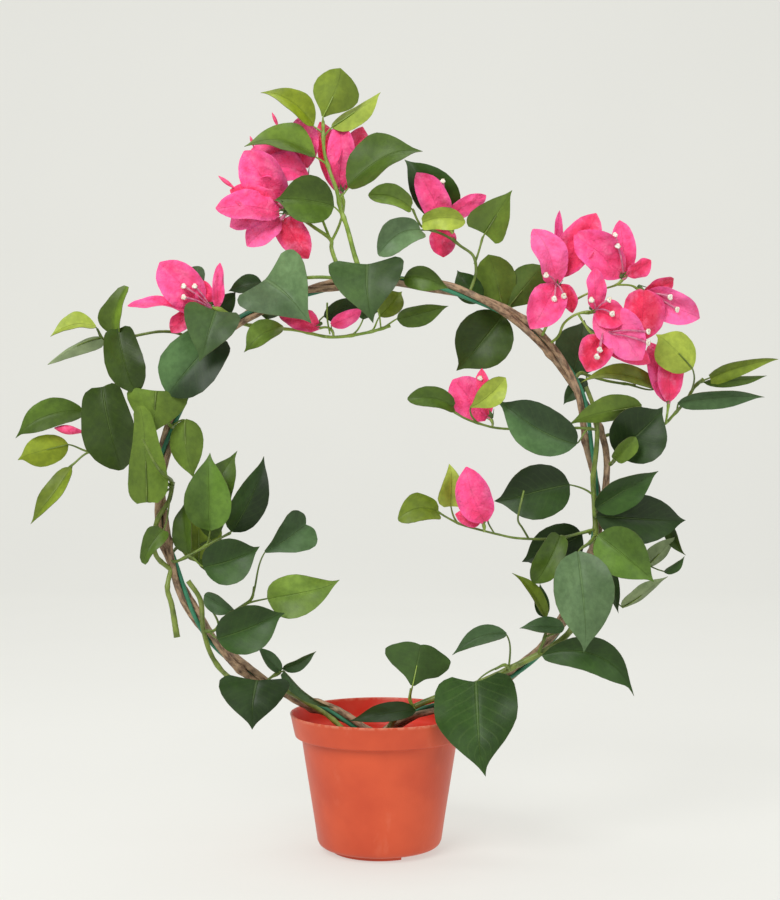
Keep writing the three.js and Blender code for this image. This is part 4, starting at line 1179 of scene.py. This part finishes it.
def stalk_route(line, i, rib):
    """A stalk that leaves the stem along it and swings round to meet the midrib."""
    start, end = line[i], rib[0]
    reach = np.linalg.norm(end - start) * SWING
    chord = unit(end - start)
    leave = unit(unit(line[min(i + 1, len(line) - 1)] - line[i - 1]) * STEM_LEAN + chord)
    arrive = unit(unit(rib[1] - rib[0]) * RIB_LEAN + chord)
    handles = start, start + leave * reach, end - arrive * reach, end
    t = np.linspace(0, 1, STALK_POINTS)[:, None]
    shares = (1 - t) ** 3, 3 * (1 - t) ** 2 * t, 3 * (1 - t) * t**2, t**3
    return np.concatenate([sum(s * h for s, h in zip(shares, handles))[:-1], rib])


def drawn(name, tubes, sides):
    """Many thin tubes as one mesh. Each is its points and radii, in millimetres."""
    data = added(bpy.ops.curve.primitive_bezier_curve_add).data
    data.splines.clear()
    data.dimensions = "3D"
    data.bevel_depth = MM
    data.bevel_resolution = (sides - 4) // 2
    data.use_fill_caps = True
    for points, radii in tubes:
        spline = data.splines.new("POLY")
        spline.points.add(len(points) - 1)
        spline.points.foreach_set("co", np.c_[points * MM, np.ones(len(points))].ravel())
        spline.points.foreach_set("radius", np.asarray(radii, dtype=float))
    bpy.ops.object.convert(target="MESH")
    bpy.ops.object.shade_smooth()
    return called(bpy.context.object, name)


# %% [markdown]
# ## Growing every sprig
# One walk through the plan grows all of it. The stems and stalks are kept as lists of
# tubes and the blades as bent copies, sorted into the left, the right and the middle of
# the plant, so that no piece grows too heavy. Each end of a blossom stem is kept too,
# because a calyx is set there later.

# %% Stems, stalks and blades
KNOT, VINE_KNOT, KNOT_LENGTH = 0.34, 0.16, 1.4
VINE_POINTS, VINE_KNOT_GAP = 9, 23  # points to each place of a route, and to each knot
TWIG_STEP, TWIG_SHARE = 1.6, 0.88  # the points' spacing, and how thick a dressed twig is
STALK_RADIUS = {"leaf": 0.74, "bract": 0.5}
SEATED_VINES = ("vine_left_high", "stub_left")
REGIONS = ("left", "right", "middle")
PLANT_SEED = 7


def region(name):
    if "left" in name:
        return "left"
    return "right" if "right" in name or "inner" in name else "middle"


def swelled(line, r0, r1, knots, rng, height=KNOT):
    """Radii that taper from r0 to r1, with a knot at each of the indices."""
    at = np.arange(len(line))
    radii = np.linspace(r0, r1, len(line))
    for knot in knots:
        radii = radii * (1 + height * np.exp(-((at - knot) / KNOT_LENGTH) ** 2))
    return radii * np.array([rng.uniform(0.96, 1.04) for _ in at])


def twig_line(route, seated):
    """The line of a stem or a fork; a stem first starts in the limb that carries it."""
    points = [place(*p) for p in route]
    if seated:
        points.insert(0, seat(points))
    return smooth(points, max(8, round(length_of(np.array(points)) / TWIG_STEP)))


tubes = {key: [] for key in (*REGIONS, "vine", "stalk")}
blades = {key: [] for key in (*REGIONS, "blossom")}
blossom_ends = []
rng = random.Random(PLANT_SEED)
for name, (r0, r1, route) in VINES.items():
    points = [place(*p) for p in route]
    if name in SEATED_VINES:
        points[0] = seat(points)
    line = smooth(points, VINE_POINTS * len(route))
    knots = range(VINE_POINTS, len(line) - 4, VINE_KNOT_GAP)
    tubes["vine"].append((line, swelled(line, r0, r1, knots, rng, VINE_KNOT)))
    carriers.append(line)
print(len(tubes["vine"]), "vines drawn")

# %% Growing the sprigs and the blossom
for plan, kind in ((LEAVES, "leaf"), (BLOSSOM, "bract")):
    wire = STALK_RADIUS[kind]
    for name, ((r0, r1), routes, rows) in plan.items():
        lines = [twig_line(route, seated=not i) for i, route in enumerate(routes)]
        stems, cloths = (region(name),) * 2 if kind == "leaf" else ("stalk", "blossom")
        knots = {id(line): [] for line in lines}
        for k, row in enumerate(rows):
            blade = Blade(row, CLOTH[kind], rng)
            blades[cloths].append(blade.mesh_of(PATTERNS[blade.outline], f"{name}_{k}"))
            line, i = stalk_foot(lines, blade.base)
            knots[id(line)].append(i)
            route = stalk_route(line, i, blade.rib())
            tubes[stems].append((route, np.linspace(wire * 1.15, wire * 0.5, len(route))))
        for i, line in enumerate(lines):
            start, end = (r0, r1) if i == 0 else (r1 * 1.1, r1 * 0.9)
            radii = swelled(line, start, end, knots[id(line)], rng) * TWIG_SHARE
            tubes[stems].append((line, radii))
            if kind == "bract":
                blossom_ends.append((line[-1], unit(line[-1] - line[-4])))
        if kind == "leaf":
            carriers.append(lines[0])
print({key: len(found) for key, found in tubes.items()}, "tubes")
print({key: len(found) for key, found in blades.items()}, "blades")

# %% [markdown]
# ## Bare stalks
# Here and there a stalk has lost its leaf. A few such stalks hang from the twigs, and one
# strong wire runs on from the top of the left vine up the front of a turned leaf.

# %% Stalks without a leaf
# Each is its radii at the two ends, then its route.
BARE_STALKS = {
    "left": [
        (1.9, 0.6, [(-150.5, 264, -9.2), (-151.5, 267, -20), (-155, 270, -33),
                    (-160, 275, -39), (-166, 285, -43), (-172, 297, -44)]),
    ],
    "right": [
        (0.7, 0.6, [(57, 262, -14), (59, 250, -13), (60.5, 236, -11)]),
        (0.7, 0.6, [(78, 242, -16), (79, 236, -13), (83, 229, -11)]),
        (0.7, 0.8, [(104.8, 259.5, -38), (101.6, 246, -39), (100.5, 238, -30), (104, 232, -18),
                    (108.5, 224.3, -11)]),
    ],
    "middle": [
        (0.7, 0.6, [(-38, 396, 2), (-38, 385, 5), (-36, 373, 8)]),
        (0.7, 0.6, [(-2, 394, 2), (0, 386, 5), (1, 377, 8)]),
    ],
}
BARE_POINTS = 16

for key, stalks in BARE_STALKS.items():
    for first, last, route in stalks:
        line = smooth([place(*p) for p in route], BARE_POINTS)
        tubes[key].append((line, np.linspace(first, last, BARE_POINTS)))
print(sum(map(len, BARE_STALKS.values())), "bare stalks")

# %% [markdown]
# ## Green stems
# Young shoots are a clear light green with pale patches on them, partly a dusty bloom and
# partly a painted sheen; older vines are olive.
# One finish serves for each, from two tones laid over each other by noise.

# %% Finishes for stems
def stem_finish(name, first, second, dust_and_sheen_tone):
    skin = Finish(name, Roughness=0.5, IOR=1.45)
    spot = skin.place()
    cloud = skin.grain(spot, 90, 3.0)
    tone = skin.blend(cloud.step(0.32, 0.68), linear(first), linear(second))
    # Pale patches: partly a dusty bloom, partly a painted sheen.
    dust_and_sheen = skin.grain(skin.stretched(spot, (1, 1, 0.4)), 420, 3.0).step(0.5, 0.75)
    return skin.feed(
        Base_Color=skin.blend(dust_and_sheen * 0.4, tone, linear(dust_and_sheen_tone)),
        Roughness=dust_and_sheen * 0.3 + 0.35,
        Normal=skin.relief(skin.grain(spot, 500, 3.0), 0.00025),
    )


vine_skin = stem_finish("olive_stem", (88, 104, 40), (126, 144, 60), (146, 150, 104))
shoot_skin = stem_finish("green_shoot", (112, 140, 50), (144, 170, 68), (186, 202, 140))
twig_skin = stem_finish("green_twig", (84, 104, 40), (116, 138, 54), (140, 152, 100))
leaf_nodes = {key: [name for name in LEAVES if region(name) == key] for key in REGIONS}
settle(drawn("vine_stems", tubes["vine"], 12), [vine_skin], list(VINES))
for key, found in leaf_nodes.items():
    skin = shoot_skin if key == "middle" else twig_skin
    settle(drawn("twigs_" + key, tubes[key], 8), [skin], found)
settle(drawn("blossom_stalks", tubes["stalk"], 8), [shoot_skin], list(BLOSSOM))

# %% [markdown]
# ## Leaf cloth
# Printed polyester has a fine weave, a soft waxy shine, and pressed veins: a groove down
# the middle and side veins that sweep forward. The veins are drawn from the blade's own
# UV map, across from 0 to 1 and up from 0 to 1, and each leaf carries how clear its veins
# are. The back is duller and paler, and the cut edge is a thin brown line.

# %% Finishes for leaves
def veined(cloth, veins):
    """The midrib and the side veins of a blade, each as a share from 0 to 1."""
    u, v, _ = cloth.parts(cloth.uv("blade"))
    across = (u - 0.5).math("ABSOLUTE")
    midrib = 1 - (across / (1.15 - v)).step(0.006, 0.03)
    wander = cloth.grain(cloth.uv("blade"), 3.0) * 0.5
    phase = ((v - across * 0.62) * veins + wander).math("FRACT") - 0.5
    vein = (1 - phase.math("ABSOLUTE").step(0.03, 0.14)) * (1 - across.step(0.3, 0.5))
    return midrib, vein, across, v


def leaf_finish(name, vein_tone, shine, fade, relief):
    """Leaf cloth. shine is its roughness, and fade pales the whole of it."""
    cloth = Finish(name, Roughness=shine, IOR=1.45, Specular_IOR_Level=0.4)
    midrib, vein, _, _ = veined(cloth, 9)
    # The carried tone holds painted light and shade: one half of each blade is painted lighter.
    tone, clear = cloth.carried("tone"), cloth.carried("tone", out=3)
    spot = cloth.place()
    cloud = cloth.grain(spot, 55, 3.0)
    fleck = cloth.grain(spot, 240, 4.0, 0.6)
    shaded = cloth.blend(cloud.step(0.25, 0.75), (0.8, 0.82, 0.78), (1.14, 1.1, 1.1))
    flecked = cloth.blend(fleck.step(0.3, 0.7), (0.86, 0.87, 0.86), (1.14, 1.13, 1.16))
    base = cloth.blend(1.0, tone, shaded, mode="MULTIPLY")
    base = cloth.blend(1.0, base, flecked, mode="MULTIPLY")
    base = cloth.blend(fade, base, linear(vein_tone))
    ribs = midrib * (clear * 0.45 + 0.1) + vein * clear * 0.35
    base = cloth.blend(ribs, base, linear(vein_tone))
    weave = cloth.grain(spot, 1500, 1.0)
    height = midrib * -0.7 + vein * (clear * -0.3) + weave * 0.12 + cloud * 0.3
    return cloth.feed(
        Base_Color=base,
        Roughness=weave * 0.1 + cloud * 0.14 + shine,
        Normal=cloth.relief(height, relief),
    )


leaf_front = leaf_finish("leaf_cloth", (124, 152, 76), 0.34, 0.0, 0.0006)
leaf_back = leaf_finish("leaf_cloth_back", (120, 140, 74), 0.6, 0.08, 0.0004)
edging = Finish("cut_edge", Roughness=0.8)
edge_cloud = edging.grain(edging.place(), 150)
leaf_edge = edging.feed(
    Base_Color=edging.blend(edge_cloud, linear((70, 84, 40)), linear((104, 98, 60)))
)

# %% [markdown]
# ## Bract cloth
# The pink cloth is thinner and crinkled. It is dyed a deeper red towards the stalk and
# turns magenta along the edge. Over that, raised clouds are painted lighter pink and low
# ones deeper red, a painted highlight and shade on the crinkles.

# %% Finishes for bracts
def bract_finish(name, shine, relief):
    cloth = Finish(name, Roughness=shine, IOR=1.45, Sheen_Weight=0.15)
    midrib, vein, across, up = veined(cloth, 7)
    # The carried tone holds painted light and shade: one half of each bract is painted lighter.
    tone = cloth.carried("tone")
    spot = cloth.place()
    cloud = cloth.grain(spot, 110, 4.0, 0.6)
    base = cloth.blend((1 - up.step(0.05, 0.55)) * 0.42, tone, linear((226, 26, 80)))
    base = cloth.blend(across.step(0.26, 0.52) * 0.4, base, linear((240, 96, 176)))
    # Painted highlight and shade: raised clouds of the crinkle are painted lighter pink, low ones
    # deeper red.
    base = cloth.blend(cloud.step(0.48, 0.72) * 0.5, base, linear((255, 128, 172)))
    base = cloth.blend((1 - cloud.step(0.28, 0.5)) * 0.5, base, linear((228, 30, 84)))
    base = cloth.blend(midrib * 0.12 + vein * 0.04, base, linear((206, 30, 96)))
    crinkle = cloth.grain(spot, 190, 3.0, 0.55)
    height = midrib * -0.4 + vein * -0.1 + crinkle * 3.2 + cloud * 1.6
    return cloth.feed(
        Base_Color=base,
        Roughness=cloud * 0.14 + shine,
        Normal=cloth.relief(height, relief),
    )


bract_front = bract_finish("bract_cloth", 0.5, 0.0007)
bract_back = bract_finish("bract_cloth_back", 0.6, 0.0006)

# %% Thickness for the cloth
def cloth_piece(pieces, name, thick, finishes):
    """Joins blades and gives them their thickness: a front, a back and a cut edge."""
    cloth = joined(pieces, name)
    for finish in finishes:
        cloth.data.materials.append(finish)
    modified(cloth, "SOLIDIFY", thickness=thick * MM, offset=-1, material_offset=1,
             material_offset_rim=2)
    bpy.ops.object.shade_smooth_by_angle(angle=math.radians(60))
    return cloth


LEAF_CLOTH = (leaf_front, leaf_back, leaf_edge)
for key, found in leaf_nodes.items():
    cloth = cloth_piece(blades[key], "leaves_" + key, CLOTH["leaf"]["thick"], LEAF_CLOTH)
    settle(cloth, [], found)
BRACT_CLOTH = (bract_front, bract_back, bract_back)
bracts = cloth_piece(blades["blossom"], "blossom_bracts", CLOTH["bract"]["thick"], BRACT_CLOTH)
settle(bracts, [], list(BLOSSOM))
for pattern in PATTERNS.values():
    bpy.data.objects.remove(pattern)

# %% [markdown]
# ## Small cream flowers
# The real flower sits among its three bracts: a narrow tube that ends in a small cream
# button of five lobes. The button and the ring of green sepals are each modelled once and
# copied to every place, turned to look outward.

# %% One button and one ring of sepals
BUTTON_RADIUS, BUTTON_SIDES, BUTTON_FLATNESS = 2.4, 10, 0.34
EYE, EYE_DEPTH, BETWEEN_LOBES = 0.3, 1.1, 0.62
SEPAL_LENGTH, SEPAL_SIDES, SEPAL_CLOTH = 6.4, 8, 0.3
SEPAL_FOOT, SEPAL_MOUTH = 1.0, 4.2
NOTCH_DEPTH, NOTCH_IN = 0.72, 0.45


def on_odd_side(co, sides):
    """Whether a point stands on an odd side of a turned shape."""
    return round(math.atan2(co.y, co.x) / (2 * math.pi / sides)) % 2 == 1


button = added(
    bpy.ops.mesh.primitive_uv_sphere_add,
    segments=BUTTON_SIDES, ring_count=6, radius=BUTTON_RADIUS * MM, location=(0, 0, 0),
)
edit_all()
bpy.ops.transform.resize(value=(1, 1, BUTTON_FLATNESS))
pick(button, lambda co: on_odd_side(co, BUTTON_SIDES) and math.hypot(co.x, co.y) > EYE * MM)
bpy.ops.transform.resize(value=(BETWEEN_LOBES, BETWEEN_LOBES, 1), center_override=(0, 0, 0))
pick(button, lambda co: co.z > 0 and math.hypot(co.x, co.y) < EYE * MM)
bpy.ops.transform.translate(value=(0, 0, -EYE_DEPTH * MM))
bpy.ops.object.mode_set(mode="OBJECT")
bpy.ops.object.shade_smooth()

sepals = added(
    bpy.ops.mesh.primitive_cone_add,
    vertices=SEPAL_SIDES, radius1=SEPAL_FOOT * MM, radius2=SEPAL_MOUTH * MM,
    depth=SEPAL_LENGTH * MM, end_fill_type="NOTHING", location=(0, 0, SEPAL_LENGTH / 2 * MM),
)
pick(sepals, lambda co: co.z > 0 and on_odd_side(co, SEPAL_SIDES))
bpy.ops.transform.translate(value=(0, 0, -NOTCH_DEPTH * SEPAL_LENGTH * MM))
bpy.ops.transform.resize(value=(NOTCH_IN, NOTCH_IN, 1), center_override=(0, 0, 0))
bpy.ops.object.mode_set(mode="OBJECT")
modified(sepals, "SOLIDIFY", thickness=SEPAL_CLOTH * MM)
print("button:", len(button.data.polygons), "faces, sepals:", len(sepals.data.polygons))

# %% Set them in their places
# The foot of each bunch of flower tubes, then the places of the buttons.
FLOWERS = [
    ((-122, 392, -19), [(-142, 408, -26), (-134, 408, -25), (-142, 400, -27)]),
    ((48, 455, 3), [(46, 484, -3), (34, 484, -2)]),
    ((77, 314, 0), [(73, 341, -4)]),
    ((128, 410, -19), [(121, 416, -27), (127, 399, -27), (134, 401, -26)]),
    ((177, 418, -16), [(171, 445, -22), (173, 437, -24)]),
    ((193, 402, -16), [(211, 400, -26), (222, 399, -24), (216, 391, -26)]),
    ((157, 391, -29), [(154, 398, -37), (167, 398, -36), (169, 388, -36)]),
    ((162, 374, -33), [(160, 362, -40), (158, 357, -40), (195, 375, -36), (195, 367, -35)]),
]
# Closed buds, each from its foot to its end, with its radius.
BUDS = [
    ((-73, 522, -4), (-78, 534, -4), 1.3),
    ((-104, 478, -24), (-117, 488, -26), 1.6),
    ((-91, 508, -12), (-94, 517, -13), 1.1),
    ((-214, 302, -6), (-236, 305, -8), 3.4),
]
# Two calyces that turn to the front, each its place and the way it opens.
TURNED_CALYCES = [
    ((-71, 467, -23), (-0.8, -0.4, 0.5)),
    ((-70, 458, -24), (-0.5, -0.5, -0.7)),
]
# The radii of a flower tube, a bud as a share of its own, and the bulb in a calyx, each
# from foot to end, and how far forward and up the middle of a tube bows.
TUBE_RADII = np.array([0.6, 0.55, 0.55, 0.6, 0.65, 0.7, 0.75, 0.85, 1.1])
BUD_SHARES = np.array([0.25, 0.35, 0.6, 0.85, 1, 1, 0.85, 0.55, 0.15])
BULB_RADII = np.array([0.8, 1.05, 1.3, 1.4, 1.3, 1.1, 0.8])
BULB_HALF, TUBE_BOW = 3, np.array([0, -2.0, 1.2])


def copied(model, spot, axis):
    """A copy of a model with its z axis turned along the given one, its place in its mesh."""
    piece = model.copy()
    piece.data = model.data.copy()
    bpy.context.scene.collection.objects.link(piece)
    turn = Vector((0, 0, 1)).rotation_difference(Vector(axis))
    rows = [tuple(turn @ Vector(co) + Vector(spot * MM)) for co in coords(model.data)]
    set_coords(piece.data, rows)
    return piece


flower_tubes, buttons = [], []
for foot, heads in FLOWERS:
    root = place(*foot)
    for head in heads:
        end = place(*head)
        line = smooth([root, (root + end) / 2 + TUBE_BOW, end], len(TUBE_RADII))
        flower_tubes.append((line, TUBE_RADII))
        look = unit(unit(end - root) * 0.7 + np.array([rng.uniform(-0.3, 0.3), -1, 0.1]))
        buttons.append(copied(button, end + look * 0.4, look))
buds = []
for foot, end, radius in BUDS:
    line = smooth([place(*foot), place(*end)], len(BUD_SHARES))
    buds.append((line, BUD_SHARES * radius))
blossom_ends += [(place(*spot), unit(np.array(axis))) for spot, axis in TURNED_CALYCES]
calyces = []
for end, axis in blossom_ends:
    along = np.linspace(-BULB_HALF, BULB_HALF, len(BULB_RADII))
    flower_tubes.append((end + along[:, None] * axis, BULB_RADII))
    calyces.append(copied(sepals, end - axis * BULB_HALF / 2, axis))
for model in (button, sepals):
    bpy.data.objects.remove(model)
print(len(buttons), "flowers,", len(buds), "buds and", len(calyces), "calyces")

# %% Their finishes
def plain_cloth(name, first, second, roughness):
    """A finish of two tones clouded into each other."""
    cloth = Finish(name, Roughness=roughness)
    cloud = cloth.grain(cloth.place(), 400, 3.0)
    return cloth.feed(Base_Color=cloth.blend(cloud.step(0.3, 0.7), linear(first), linear(second)))


cream = plain_cloth("cream_petal", (226, 216, 188), (250, 248, 240), 0.6)
tube_skin = plain_cloth("pink_flower_tube", (184, 84, 126), (212, 128, 150), 0.55)
bud_pink = plain_cloth("pink_bud", (232, 46, 104), (250, 92, 142), 0.5)
sepal_green = plain_cloth("green_sepal", (58, 84, 34), (86, 114, 50), 0.6)
settle(joined(buttons, "cream_buttons"), [cream])
settle(drawn("flower_tubes", flower_tubes, 8), [tube_skin])
settle(drawn("pink_buds", buds, 12), [bud_pink])
settle(joined(calyces, "green_sepals"), [sepal_green])
